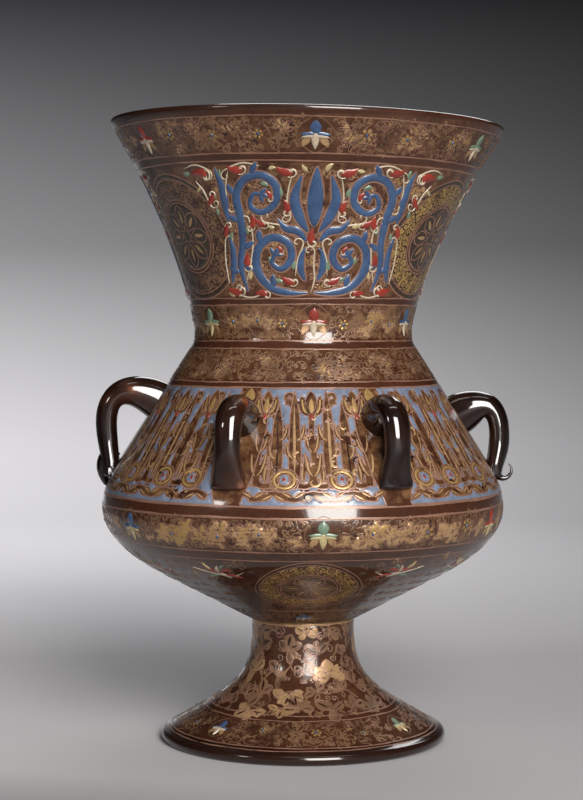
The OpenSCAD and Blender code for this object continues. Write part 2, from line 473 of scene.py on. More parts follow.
def rounded(a, square):
    """A wave like a sine or cosine, squarer where the power is less than 1."""
    return np.sign(a) * np.abs(a) ** square


def turned_to(azimuth, radius, height, side, least=0):
    """Points of a handle from its own plane, none nearer the axis than a least radius."""
    radius, height, side = radius.ravel(), height.ravel(), side.ravel()
    reach = np.maximum(np.hypot(radius, side), least)
    return hand_blown(spun(reach, height, np.arctan2(side, radius) + math.radians(azimuth)))


def make_handle(name, azimuth, drop, material, rng):
    line = handle_line(drop)
    end = line[-1]
    t = lengths(line)
    t /= t[-1]
    tangent = ways(line)
    normal = -left_of(tangent)
    thick = swell(t, ROOT_HALF_L, ROD_HALF_T, PAD_HALF_T)
    wide = swell(t, ROOT_HALF_W, ROD_HALF_W, PAD_HALF_W)
    # The cut end closes over two small steps, so that its edge is rounded
    line = np.vstack([line, end + 0.5 * tangent[-1], end + 0.3 * tangent[-1]])
    normal = np.vstack([normal, normal[-1], normal[-1]])
    thick = np.concatenate([thick, [thick[-1] - 0.7, 0.05]])[:, None]
    wide = np.concatenate([wide, [wide[-1] - 0.7, 0.05]])[:, None]
    t = np.concatenate([t, [1, 1]])[:, None]
    a = np.linspace(0, TURN, ROD_SIDES + 1)[:-1]
    square = 1 - 0.25 * ease(4 * t - 3)
    phase = rng.uniform(0, TURN)
    lumps = 1 + 0.03 * np.sin(9 * t + phase) + 0.02 * np.sin(2 * a + 5 * t + phase)
    chips = ease(12 * t - 10.6) * rng.uniform(0.2, 1.0)
    chips = chips * (0.06 * np.sin(5 * a + phase) + 0.05 * np.sin(9 * a + 2 * phase + 40 * t))
    out = thick * rounded(np.cos(a), square)
    radius = line[:, :1] + out * normal[:, :1] * (lumps + chips)
    height = line[:, 1:] + out * normal[:, 1:] * (lumps + chips)
    side = wide * rounded(np.sin(a), square) * (lumps + chips)
    # What lies in the bowl's wall stops a little under its surface
    points = turned_to(azimuth, radius, height, side, BODY.radius_at(height.ravel()) - SINK)
    faces = [f[::-1] for f in grid_faces(len(line), ROD_SIDES, False, True)]
    faces.append(tuple(range(ROD_SIDES)))
    last = (len(line) - 1) * ROD_SIDES
    faces.append(tuple(range(last + ROD_SIDES - 1, last - 1, -1)))
    if name in DRIPS:
        run = drip([(end[0] + x, end[1] + y, half) for x, y, half in DRIPS[name]])
        faces += grid_faces(*run[0].shape, False, True, len(points))
        points = np.vstack([points, turned_to(azimuth, *run)])
    piece = new_piece(name + "_glass", points, faces, material, "handle_glass")
    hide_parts(name)


# Drawing on the glass

class Board:
    """A flat board wrapped on the glass: x runs round to the right and y runs up along its line."""

    def __init__(self, line, azimuth, height, fanned=False):
        self.line = line
        self.azimuth = math.radians(azimuth)
        self.along = line.at_height(height)
        self.radius = line.place(self.along)[0]
        self.fanned = fanned

    def wrap(self, flat, lift):
        """Points in space. On a fanned board widths grow with the glass's radius."""
        radius, height, out, up = self.line.place(self.along + flat[:, 1])
        azimuth = self.azimuth + flat[:, 0] / (self.radius if self.fanned else radius)
        return hand_blown(spun(radius + lift * out, height + lift * up, azimuth))


def level_board(line, heights, azimuth=0):
    """A fanned board at the middle of a level, and how far up it the level starts and ends."""
    board = Board(line, azimuth, (heights[0] + heights[1]) / 2, fanned=True)
    low, high = [line.at_height(z) - board.along for z in heights]
    return board, low, high


THIN_SECTION = ([-1, 0, 1], [0.1, 1, 0.1])
DOMED_SECTION = ([-1, -0.78, 0, 0.78, 1], [-0.1, 0.72, 1, 0.72, -0.1])
EDGE_SINK = 0.05
FILL_GRID = 1.9
PATCH_GRID = 2.4
ROW_SHARE = 0.87


def winds_round(points, loop):
    """Whether each point lies inside a closed loop, also one that overlaps itself."""
    a, b = loop, np.roll(loop, -1, 0)
    x, y = points[:, :1], points[:, 1:]
    left = (b[:, 0] - a[:, 0]) * (y - a[:, 1]) - (x - a[:, 0]) * (b[:, 1] - a[:, 1])
    up = (a[:, 1] <= y) & (b[:, 1] > y) & (left > 0)
    down = (a[:, 1] > y) & (b[:, 1] <= y) & (left < 0)
    return up.sum(1) != down.sum(1)


class Layer:
    """One colour laid on the glass. It collects strokes and fills, and becomes one piece."""

    def __init__(self, name):
        self.name = name
        self.points = []
        self.faces = []
        self.count = 0

    def add(self, points, faces):
        self.points.append(points)
        self.faces.extend(faces)
        self.count += len(points)

    def stroke(self, board, path, width, lift, closed=False, domed=False):
        """A brush stroke along a path, with one width or a width at each point."""
        ahead = np.roll(path, -1, 0) if closed else np.vstack([path[1:], 2 * path[-1] - path[-2]])
        behind = np.roll(path, 1, 0) if closed else np.vstack([2 * path[0] - path[1], path[:-1]])
        way = ahead - behind
        way /= np.maximum(np.linalg.norm(way, axis=1), 1e-6)[:, None]
        half = np.broadcast_to(np.asarray(width, float) / 2, len(path))
        places, heights = DOMED_SECTION if domed else THIN_SECTION
        flat = path[:, None, :] + (half[:, None] * places)[:, :, None] * left_of(way)[:, None, :]
        full = np.minimum(1, half / max(half.max(), 1e-6) * 2)
        lifts = lift * full[:, None] * heights
        self.add(board.wrap(flat.reshape(-1, 2), lifts.ravel()),
                 grid_faces(len(path), len(places), closed, False, self.count))

    def leaf(self, board, base, tip, width, lift, sag=0, fullest=0.4, step=1.0):
        """A leaf or petal from base to tip, its spine pulled aside by the sag."""
        base, tip = np.array(base, float), np.array(tip, float)
        way = tip - base
        middle = (base + tip) / 2 + sag * left_of(way)
        path = bend(base, middle, tip, max(6, int(np.linalg.norm(way) / step)))
        self.stroke(board, path, leaf_width(len(path), width, fullest), lift, domed=True)

    def fill(self, board, outline, holes, lift, grid=FILL_GRID):
        """Fills a closed outline, less the holes in it, with a skin that rises from its edge.

        Returns the closed edges of what was filled.
        """
        edges = []
        for loop in [outline, *holes]:
            first = len(edges)
            edges += [(first + i, first + (i + 1) % len(loop)) for i in range(len(loop))]
        low, high = outline.min(0), outline.max(0)
        xs = np.arange(low[0] + grid / 2, high[0], grid)
        ys = np.arange(low[1] + grid / 2, high[1], grid * ROW_SHARE)
        inner = np.array([(x + (i % 2) * grid / 2, y) for i, y in enumerate(ys) for x in xs])
        verts = [Vector(p) for p in np.vstack([outline, *holes, inner.reshape(-1, 2)])]
        found = delaunay_2d_cdt(verts, edges, [], 0, 1e-5)
        flat = np.array([tuple(v) for v in found[0]])
        triangles = np.array(found[2])
        middles = flat[triangles].mean(1)
        inside = winds_round(middles, outline)
        for loop in holes:
            inside &= ~winds_round(middles, loop)
        kept = [tuple(f) for f in triangles[inside].tolist()]
        used = sorted({v for f in kept for v in f})
        number = {v: self.count + i for i, v in enumerate(used)}
        sides = {(a, b) for f in kept for a, b in zip(f, f[1:] + f[:1])}
        onward = {a: b for a, b in sides if (b, a) not in sides}
        lifts = np.array([-EDGE_SINK if v in onward else lift for v in used])
        self.add(board.wrap(flat[used], lifts), [tuple(number[v] for v in f) for f in kept])
        loops = []
        while onward:
            loop = [next(iter(onward))]
            while loop[-1] in onward:
                loop.append(onward.pop(loop[-1]))
            loops.append(flat[loop[:-1]])
        return loops

    def piece(self, material):
        new_piece(self.name, np.vstack(self.points), self.faces, material, "enamelled_glass")


def stroke_rim(path, width, gap=0.0):
    """The closed outline round a stroke."""
    left = left_of(ways(path))
    half = (np.broadcast_to(np.asarray(width, float), len(path)) / 2 + gap)[:, None]
    return np.vstack([path + half * left, (path - half * left)[::-1]])


scrolls = Layer("gilt_scrolls")
gilding = Layer("gilt_leaves")
bright_gold = Layer("bright_gilding")
lines = Layer("fired_outlines")
dark_lines = Layer("dark_drawing")
dark_field = Layer("dark_fields")
blue = Layer("blue_enamel")
pale_blue = Layer("pale_blue_ground")
red = Layer("red_enamel")
white = Layer("white_enamel")
green = Layer("green_enamel")
yellow = Layer("yellow_enamel")

# Widths of lines, and how high each kind of paint stands on the glass
LINE_W = 0.8
SCROLL_W = 0.45
VEIN_W = 0.45
FIELD_LIFT = 0.03
SHADOW_LIFT = 0.05
GILT_LIFT = 0.06
RIB_LIFT = 0.07
LEAF_LIFT = 0.08
SCROLL_LIFT = 0.09
SHADE_LIFT = 0.1
HIGH_GILT_LIFT = 0.11
LINE_LIFT = 0.12
FOOT_CURL_LIFT = 0.16
GROUND_LIFT = 0.2
PANEL_CURL_LIFT = 0.22
FRUIT_LIFT = 0.24
DROP_LIFT = 0.3
PETAL_LIFT = 0.35
HEART_LIFT = 0.4
ENAMEL_LIFT = 0.45
CALYX_LIFT = ENAMEL_LIFT + 0.05
SPIRAL_LIFT = ENAMEL_LIFT + 0.15


def hoop(layer, line, height, width, phase=0.0):
    """A painted line right round the lamp, a little unsteady as a brush makes it."""
    board = Board(line, 0, height, fanned=True)
    a = np.linspace(-TURN / 2, TURN / 2, AROUND + 1)
    y = 0.18 * np.sin(3 * a + phase) + 0.12 * np.sin(11 * a + 2 * phase) + 0.06 * np.sin(37 * a)
    widths = width * (1 + 0.25 * np.sin(17 * a + phase))
    layer.stroke(board, np.stack([a * board.radius, y], 1), widths, LINE_LIFT)


def double_hoop(line, heights, width=0.75):
    for k, height in enumerate(heights):
        hoop(lines, line, height, width, phase=height + k)


def ringed(layer, board, outline, width):
    """A fine line along a closed outline."""
    layer.stroke(board, outline, width, LINE_LIFT, closed=True)


def rim_line(board, path, width, gap, line_w):
    """A fired line round a stroke, with a gap between."""
    ringed(lines, board, evenly(stroke_rim(path, width, gap), 1.0), line_w)


def twig(board, path, rng, leaf_size):
    """One fine scroll with small leaves along it."""
    scrolls.stroke(board, path, SCROLL_W, SCROLL_LIFT)
    for share in (0.05, 0.22, 0.4, 0.58, 0.76):
        i = min(len(path) - 2, int(share * len(path)))
        way = unit(path[i + 1] - path[i])
        out = left_of(way) * rng.choice((-1, 1))
        size = leaf_size * rng.uniform(0.7, 1.3)
        tip = path[i] + size * (0.75 * out + 0.65 * way)
        spine = bend(path[i], path[i] + size * 0.6 * out, tip, 4)
        scrolls.stroke(board, spine, leaf_width(5, size * 0.45, 0.6, 0.3), SCROLL_LIFT)


def lobed(centre, size, rng):
    """The outline of a lobed leaf."""
    lobes = rng.choice((3, 4, 5))
    phase = rng.uniform(0, TURN)
    a = np.linspace(0, TURN, 29)[:-1]
    r = size * (0.74 + 0.26 * np.cos(lobes * a + phase) + 0.12 * np.sin(2 * a - phase))
    stretch = rng.uniform(1.0, 1.7)
    return np.stack([centre[0] + stretch * r * np.cos(a), centre[1] + r * np.sin(a)], 1)


VEINED_FROM = 2.4


def gilt_patch(board, centre, size, rng, layer=gilding, lift=GILT_LIFT):
    """A lobed gold leaf, with a vein if it is large, as the gilder's brush left it."""
    outline = lobed(centre, size, rng)
    layer.fill(board, outline, [], lift, PATCH_GRID)
    ringed(lines, board, outline, 0.4)
    if size > VEINED_FROM:
        first = rng.randrange(14)
        vein = bend(outline[first], centre, outline[first + 13], 6)
        dark_lines.stroke(board, vein, VEIN_W, LINE_LIFT)


def star_flower(board, centre, size, rng):
    """A flower of eight narrow petals, drawn in gold lines."""
    turn = rng.uniform(0, 45)
    for k in range(8):
        way = heading(math.radians(turn + 45 * k))
        path = bend(centre + 0.18 * size * way, centre + 0.6 * size * way, centre + size * way, 5)
        scrolls.stroke(board, path, leaf_width(6, 0.3 * size, 0.6, 0.25), SCROLL_LIFT)


class Band:
    """A level right round the lamp, drawn flat, with places kept clear for blossoms."""

    def __init__(self, line, heights, clear, clear_r):
        self.board, self.low, self.high = level_board(line, heights)
        self.around = TURN * self.board.radius
        self.clear_r = clear_r
        self.gaps = [math.radians(a) * self.board.radius for a in clear]

    def blocked(self, x, margin=0.0):
        half = self.around / 2
        return any(abs((x - g + half) % self.around - half) < self.clear_r + margin for g in self.gaps)

    def scatter(self, rng, count, size, least, most):
        """Tries a count of places for things that vary in size, and gives the free ones.

        Each comes as its number, its place and its size.
        """
        for k in range(count):
            grown = size * rng.uniform(least, most)
            x = rng.uniform(-self.around / 2, self.around / 2)
            y = rng.uniform(self.low + grown, self.high - grown)
            if not self.blocked(x, grown):
                yield k, point(x, y), grown


def scroll_band(line, heights, seed, patches, stars, cell=5.2, clear=(), clear_r=8.2, patch_size=3.2,
                shadows=0, patch_lift=GILT_LIFT):
    """Rows of fine scrolls round a band, over dark places, with star flowers and gold leaves among them."""
    rng = random.Random(seed)
    band = Band(line, heights, clear, clear_r)
    board, low, high = band.board, band.low, band.high
    for _, spot, size in band.scatter(rng, shadows, 1, 1.4, 3.2):
        dark_lines.fill(board, lobed(spot, size, rng), [], SHADOW_LIFT, PATCH_GRID)
    rows = max(1, int(round((high - low) / cell)))
    row_h = (high - low) / rows
    for i in range(rows):
        for j in range(int(band.around / cell)):
            x = (j + 0.5 * (i % 2) + rng.uniform(-0.2, 0.2)) * cell - band.around / 2
            y = low + (i + 0.5 + rng.uniform(-0.15, 0.15)) * row_h
            turns, start = rng.uniform(0.9, 1.5), rng.uniform(0, 360)
            radius = 0.62 * cell * rng.uniform(0.75, 1.15)
            if band.blocked(x):
                continue
            path = curl((x, y), radius, turns, start, rng.choice((-1, 1)))
            path[:, 1] = np.clip(path[:, 1], low + 0.5, high - 0.5)
            twig(board, path, rng, 0.42 * cell)
    for _, spot, size in band.scatter(rng, stars, 0.33 * (high - low), 0.8, 1.1):
        star_flower(board, spot, size, rng)
    for k, spot, size in band.scatter(rng, patches, patch_size, 0.6, 1.35):
        gilt_patch(board, spot, size, rng, bright_gold if k % 4 == 0 else gilding, patch_lift)


# The right half of the pointed frame round a blossom of size 1
BLOSSOM_FRAME = [(0, 1.28), (0.5, 1.04), (1.1, 0.42), (1.12, -0.28), (0.5, -0.98), (0, -1.24)]
FLORETS = 3


def blossom(line, azimuth, height, size, petals, calyx, framed=True):
    """A lily blossom: a bud with two side petals over a three-pointed calyx, in a pointed frame."""
    board = Board(line, azimuth, height)
    petals.leaf(board, (0, 0), (0, size), 0.72 * size, ENAMEL_LIFT, fullest=0.5)
    for side in (-1, 1):
        petals.leaf(board, (0, 0.1 * size), (side * 0.95 * size, 0.06 * size), 0.36 * size, ENAMEL_LIFT,
                    sag=-side * 0.14, fullest=0.42)
        gilding.leaf(board, (side * 0.3 * size, -0.2 * size), (side * 0.8 * size, -0.84 * size), 0.46 * size,
                     GILT_LIFT, sag=side * 0.2)
        calyx.leaf(board, (0, -0.12 * size), (side * 0.86 * size, -0.2 * size), 0.34 * size, CALYX_LIFT,
                   sag=side * 0.16, fullest=0.35)
    calyx.leaf(board, (0, 0.2 * size), (0, -size), 0.5 * size, CALYX_LIFT)
    if framed:
        half = through(BLOSSOM_FRAME, 6)
        ringed(scrolls, board, np.vstack([half, mirrored(half)[::-1][1:-1]]) * size, 0.42)


def floret(line, azimuth, height, size, heart, rng):
    """A small gold flower round a drop of enamel."""
    board = Board(line, azimuth, height)
    turn = rng.uniform(0, 60)
    for k in range(6):
        way = heading(math.radians(turn + 60 * k))
        bright_gold.leaf(board, 0.3 * size * way, size * way, 0.5 * size, LEAF_LIFT, fullest=0.6)
    heart.leaf(board, (0, -0.9), (0, 1.1), 1.4, HEART_LIFT, step=0.4)


def flower_row(line, height, azimuths, size, colours, seed):
    """Blossoms round a band, with florets between them."""
    rng = random.Random(seed)
    for k, azimuth in enumerate(azimuths):
        petals, calyx = colours[k % len(colours)]
        blossom(line, azimuth, height, size, petals, calyx)
        gap = (azimuths[(k + 1) % len(azimuths)] - azimuth) % 360
        for j in range(FLORETS):
            share = (j + 1) / (FLORETS + 1)
            floret(line, azimuth + gap * share + rng.uniform(-2, 2), height + rng.uniform(-1.5, 1.5),
                   size * rng.uniform(0.3, 0.56), blue, rng)


# Neck

NECK_MIDDLE = 268.5
PANEL_AZIMUTHS = (3, 123, 243)
MEDALLION_AZIMUTHS = (63, 183, 303)
MEDALLION_R = 34.0

# The right half of the panel's drawing, in millimetres from its middle; the left half mirrors it
# Scrolls of the vine, each with its leaflets: share along it and side
VINE_SCROLLS = [
    ([(1.6, -31), (10, -31), (20, -28.4), (27.6, -20), (28.4, -9), (21.6, -2), (13, -4.4), (10.4, -12.4),
      (15, -18.4), (20.4, -15.2), (18.6, -10.6)],
     [(0.2, 1), (0.36, -1), (0.52, -1)]),
    ([(33, -30), (37.4, -17), (36.6, -4), (38.4, 9), (41, 20), (37, 29), (28, 31.4), (20.4, 26), (20, 16.6),
      (26.6, 11.6), (33, 15), (31.6, 21.4), (27.4, 21)],
     [(0.1, -1), (0.2, 1), (0.33, -1), (0.45, -1), (0.56, -1)])]
# Lance leaves: the line of each and its width
VINE_LANCES = [
    ([(2.8, 1), (7.4, 9), (10.4, 19), (7.4, 32)], 5.4),
    ([(3, -4), (8, 1.6), (14, 3), (18.6, 8.4)], 4.2),
    ([(45, 6), (47.6, 17), (50, 27), (54, 36)], 4.6),
    ([(42.4, -26), (41.6, -16), (42.4, -8), (45, 0)], 4.0),
    ([(3, -25), (5.6, -18), (5, -10), (2.4, -7)], 3.6)]
# Half leaves: place, direction, size and hand
RED_LEAVES = [
    (13, 33.4, 20, 9, -1), (39, 35, 12, 9, -1), (45, 4, 285, 7, 1), (14.4, 12, 75, 7.5, 1),
    (23, 19, 60, 5.5, 1), (16, -9.6, 50, 4.6, 1), (32.4, -17, 85, 8, -1), (37.6, -29.6, 8, 9, -1),
    (9, -25, 25, 7.5, -1), (32.6, 4, 95, 7.5, 1), (25, 5.4, 30, 7, -1), (23, -32.4, 5, 7, 1),
    (60, 31.4, 8, 10, 1), (56, 21, 300, 7.5, -1)]
WHITE_STEMS = [
    [(12.4, 31), (14.6, 24), (15.4, 16), (13, 9)], [(34, -26), (32.6, -14), (32.4, -2), (34.4, 8)],
    [(44.4, -26), (45.6, -14), (46, -3)], [(29, 36.4), (38, 37), (48, 33)],
    [(9.6, 1), (16, 5.6), (25, 7.6)], [(8, -22), (8.4, -14), (6, -5)],
    [(24, -31.4), (31, -32.4), (38, -30.6)], [(46, 34), (46, 26), (44.4, 14)],
    [(74, 36), (66, 36.6), (57, 33)], [(66, 29), (60, 24), (55, 16)]]
# Small leaves: place, direction and whether green
PALE_LEAVES = [
    (4.6, 34, 50, 0), (16.6, 20, 80, 1), (33.6, 0, 80, 1), (47, 12, 100, 0), (14, -25, 20, 1),
    (40, -32, 20, 0), (9, -19, 100, 1), (19.6, 3.4, 20, 0), (28.4, 27, 200, 1), (22.4, -12, 250, 1),
    (24.4, 34.6, 170, 0), (50, 31, 80, 1), (31.6, -24, 100, 0), (43, -3, 95, 1), (70, 33, 15, 1),
    (63, 26, 320, 0), (53, 14, 250, 1)]
VINE_STEP = 1.1
VINE_W = 4.7


def blue_stroke(board, path, width):
    """A stroke of blue enamel with a fired line round it."""
    blue.stroke(board, path, width, ENAMEL_LIFT, domed=True)
    rim_line(board, path, width, 0.35, LINE_W)


def half_leaf(board, x, y, angle, size, hand):
    """A red half leaf that grows from a white spiral."""
    way = heading(math.radians(angle))
    base = point(x, y)
    red.leaf(board, base - 0.14 * size * way, base + 0.9 * size * way, 0.5 * size, ENAMEL_LIFT,
             sag=hand * 0.3, fullest=0.36)
    drop = curl(base - 0.08 * size * way, 0.36 * size, 0.8, angle + 70 * hand, hand, 0.2, 0.5)
    white.stroke(board, drop, size * np.linspace(0.05, 0.2, len(drop)), SPIRAL_LIFT, domed=True)


def vine_stem(board, points, hand):
    """A thin cream stem that bows to one side and ends in a small curl."""
    path = evenly(through(points), 0.9)
    side = hand * left_of(unit(path[-1] - path[-2]))
    centre = path[-1] + 1.9 * side
    start = math.degrees(math.atan2(-side[1], -side[0]))
    path = np.vstack([path, curl(centre, 1.9, 0.85, start, hand, 0.35, 0.5)[1:]])
    across = hand * left_of(np.gradient(path, axis=0))
    path = path - 1.5 * np.sin(np.linspace(0, math.pi, len(path)))[:, None] * across
    white.stroke(board, path, brush_width(len(path), 1.0, 0.3, 0.6), DROP_LIFT, domed=True)


def leaflet(board, root, way, size):
    """A small blue leaf, bowed a little."""
    path = bend(root, root + 0.5 * size * way + 0.12 * size * left_of(way), root + size * way, 10)
    blue_stroke(board, path, leaf_width(len(path), 0.5 * size, 0.45, 0.06))


def vine_scroll(board, points, leaflets):
    """A blue scroll that bears leaflets and ends in a three-leaved bud."""
    path = evenly(through(points), VINE_STEP)
    share = np.linspace(0, 1, len(path))
    blue_stroke(board, path, VINE_W * np.interp(share, [0, 0.12, 0.35, 0.8, 1], [0.2, 0.75, 1, 0.8, 0.45]))
    for place, side in leaflets:
        i = int(place * len(path))
        way = unit(path[i + 1] - path[i])
        across = side * left_of(way)
        leaflet(board, path[i] + 1.2 * across, unit(0.8 * way + across), 7.0)
    way = unit(path[-1] - path[-3])
    for turn in (-60, 0, 60):
        a = math.radians(turn)
        leaflet(board, path[-1] - 0.6 * way, math.cos(a) * way + math.sin(a) * left_of(way), 4.6)


def neck_panel(azimuth, seed):
    """A palmette between two mirrored vines that scroll twice, among red half leaves."""
    rng = random.Random(seed)
    board = Board(BODY, azimuth, NECK_MIDDLE)
    middle = evenly(np.array([(0, 4.0), (0, 36.4)]), VINE_STEP)
    blue_stroke(board, middle, leaf_width(len(middle), 8.0, 0.42, 0.04))
    half_leaf(board, 0, -4, 90, 8, 1)
    vine_stem(board, [(0, -31), (0.8, -24), (-0.4, -16), (0, -9)], 1)
    for side in (1, -1):
        flip = np.array([side, 1])
        for points, leaflets in VINE_SCROLLS:
            vine_scroll(board, np.array(points) * flip, [(place, side * hand) for place, hand in leaflets])
        for points, width in VINE_LANCES:
            path = evenly(through(np.array(points) * flip), VINE_STEP)
            blue_stroke(board, path, leaf_width(len(path), width, 0.45, 0.06))
        for x, y, angle, size, hand in RED_LEAVES:
            half_leaf(board, side * x, y, angle if side > 0 else 180 - angle, size, side * hand)
        for k, points in enumerate(WHITE_STEMS):
            vine_stem(board, np.array(points) * flip, side * (-1 if k % 2 else 1))
        for x, y, angle, is_green in PALE_LEAVES:
            size = rng.uniform(4.0, 5.6)
            root = point(side * x, y)
            tip = root + size * (flip * heading(math.radians(angle)))
            colour = green if is_green else yellow
            colour.leaf(board, root, tip, 0.5 * size, PETAL_LIFT, sag=0.25, step=0.6)
    for _ in range(150):
        y = rng.uniform(-29, 33)
        spot = point(rng.uniform(-1, 1) * (44 + 22 * ease(y / 30)), y)
        gilt_patch(board, spot, rng.uniform(1.6, 3.4), rng, rng.choice((gilding, bright_gold)))
    for _ in range(120):
        y = rng.uniform(-30, 35)
        spot = (rng.uniform(-1, 1) * (46 + 28 * ease(y / 30)), y)
        twig(board, loose_curl(rng, spot, rng.uniform(1.8, 3.0), 1.2), rng, 1.8)


def gold_ring(board, inner, outer, rng, gold):
    """A gilded ring with dark scrolls drawn over it."""
    gold.fill(board, ring(outer), [ring(inner)], GILT_LIFT)
    size = (outer - inner) / 2
    count = int(TURN * (inner + outer) / 2 / (0.95 * size))
    for k in range(count):
        for row, share in ((-0.46, 0.0), (0.46, 0.5)):
            a = TURN * (k + share) / count + rng.uniform(-0.05, 0.05)
            r = (inner + outer) / 2 + row * size
            path = loose_curl(rng, r * heading(a), 0.52 * size, rng.uniform(1.0, 1.5))
            dark_lines.stroke(board, path, brush_width(len(path), 1.25, 0.5, 0.6), LINE_LIFT)
            for share_along in (0.15, 0.4):
                root = path[int(share_along * len(path))]
                way = somewhere(rng, 1, 1) * 0.4 * size
                drop = bend(root, root + 0.5 * way, root + way, 4)
                dark_lines.stroke(board, drop, leaf_width(5, 0.24 * size, 0.6, 0.3), LINE_LIFT)


def rosette(board, radius, petals):
    """A plain flower of outlined petals, in a dark field."""
    dark_field.fill(board, ring(radius), [], FIELD_LIFT)
    for k in range(petals):
        way = heading(TURN * k / petals)
        base, tip = 0.2 * radius * way, 0.94 * radius * way
        path = bend(base, (base + tip) / 2, tip, 10)
        rim_line(board, path, leaf_width(len(path), 0.44 * radius, 0.6), 0, 0.7)
        gilding.leaf(board, 0.36 * radius * way, 0.8 * radius * way, 0.13 * radius, LEAF_LIFT)
    ringed(lines, board, ring(0.17 * radius, step=0.8), 0.7)


def medallion(board, radius, rng, petals, gold):
    """A rosette in a gilded ring between double lines."""
    for share in (1.0, 0.915, 0.585, 0.53):
        ringed(lines, board, ring(share * radius), 0.75)
    dark_field.fill(board, ring(radius), [ring(0.915 * radius)], FIELD_LIFT)
    gold_ring(board, 0.6 * radius, 0.9 * radius, rng, gold)
    rosette(board, 0.53 * radius, petals)


# Body band

STAVE_GAP = 8.6
SMALLEST_PATCH = 4

# What stands in the body band from a panel's middle outwards:
# how far a leaf stops below the top, or 0 for a flower
FRIEZE = (0, 1.0, 8.0, 0, 2.0, 6.0)


def tall_width(count):
    return 6.4 * np.interp(np.linspace(0, 1, count), [0, 0.08, 0.3, 0.75, 1], [0.3, 0.75, 1, 0.84, 0.1])


def loose_width(count):
    return brush_width(count, 3.4, 0.5, 0.5)


class ReservedPanel:
    """A coloured ground on which strokes of the glass are left bare."""

    def __init__(self, board, outline, low, high):
        self.board = board
        self.outline = outline
        self.low, self.high = low, high
        self.holes = []

    def bare(self, path, width):
        """Leaves a stroke bare. The width is one value, or a function of the number of points."""
        path = evenly(np.array(path, float), 1.5)
        widths = width(len(path)) if callable(width) else np.full(len(path), float(width))
        rim = stroke_rim(path, widths)
        rim[:, 1] = np.clip(rim[:, 1], self.low + 1.3, self.high - 1.3)
        self.holes.append(rim)
        return evenly_round(rim, 1.3)

    def leaf(self, points, width, lined=False):
        """Leaves a leaf bare, with a fired line round it or else a gold vein along it."""
        spine = through(points)
        rim = self.bare(spine, lambda count: leaf_width(count, width, 0.5, 0.1))
        if lined:
            ringed(lines, self.board, rim, 0.55)
        else:
            vein = evenly(spine, 1.0)[1:-1]
            gilding.stroke(self.board, vein, leaf_width(len(vein), 0.3 * width, 0.5, 0.3), LEAF_LIFT)

    def finish(self, layer):
        """Lays the colour, with a fired line round each patch of it."""
        for loop in layer.fill(self.board, self.outline, self.holes, GROUND_LIFT):
            if lengths(joined(loop))[-1] > SMALLEST_PATCH:
                ringed(lines, self.board, evenly_round(loop, 1.1), 0.75)


def tall_flower(panel, x, sway):
    """A flower on a tall stem with two pairs of leaves, left bare in a panel."""
    low, high, board = panel.low, panel.high, panel.board
    panel.bare(through([(x - sway, low + 10), (x + sway, -9), (x - 0.6 * sway, 5), (x, high - 14)]), 3.2)
    for side in (-1, 1):
        for root, size in ((low + 15, 1.0), (-4, 0.85)):
            panel.leaf([(x, root), (x + 2.4 * side * size, root + 5 * size),
                        (x + 3.8 * side * size, root + 14 * size)], 3.4 * size)
        petal = [(x, high - 16), (x + 4.4 * side, high - 12), (x + 5.6 * side, high - 4)]
        panel.leaf(petal, 5.0, lined=True)
        bright_gold.stroke(board, evenly(through(petal), 1.2)[3:-2], 1.1, LEAF_LIFT)
    panel.leaf([(x, high - 17), (x, high - 9), (x, high - 1)], 7.6, lined=True)
    bright_gold.leaf(board, (x, high - 14), (x, high - 5), 3.0, LEAF_LIFT)
    red.leaf(board, (x, high - 18), (x, high - 14.4), 2.4, DROP_LIFT)


def tall_leaf(panel, x, side, drop, ribbed):
    """A tall leaf left bare in a panel, with small leaves beside it and a curl under its tip."""
    low, top, board = panel.low, panel.high - drop, panel.board
    tip_x = x + 1.4 * side
    spine = through([(x, low + 9), (x + 0.3 * side, 0), (tip_x, top)])
    ringed(lines, board, panel.bare(spine, tall_width), 0.6)
    for hand, root in ((side, low + 25), (-side, 3)):
        panel.leaf([(x, root), (x + 3 * hand, root + 3), (x + 4.6 * hand, root + 10)], 3.2)
    panel.bare(through([(tip_x, top - 11), (tip_x + 3 * side, top - 6), (tip_x + 5 * side, top - 8.4)]),
               loose_width)
    if ribbed:
        gilding.leaf(board, (x, low + 16), (tip_x, top - 8), 1.5, RIB_LIFT, fullest=0.5)
    else:
        shade = through([(x + 0.4, low + 15), (x + 0.3 * side + 0.5, -2), (tip_x, top - 9)])
        dark_lines.stroke(board, shade, brush_width(len(shade), 0.9), SHADE_LIFT)


def round_fruit(panel, x, y, radius):
    """A fruit left bare in a panel as a ring, with a gold line in it and a drop of red in its middle."""
    skin = joined(ring(radius, (x, y), 1.0))
    ringed(lines, panel.board, panel.bare(skin, 3.2), 0.6)
    bright_gold.stroke(panel.board, skin, 1.3, FRUIT_LIFT)
    red.leaf(panel.board, (x, y - 1.5), (x, y + 1.7), 1.9, DROP_LIFT, step=0.5)


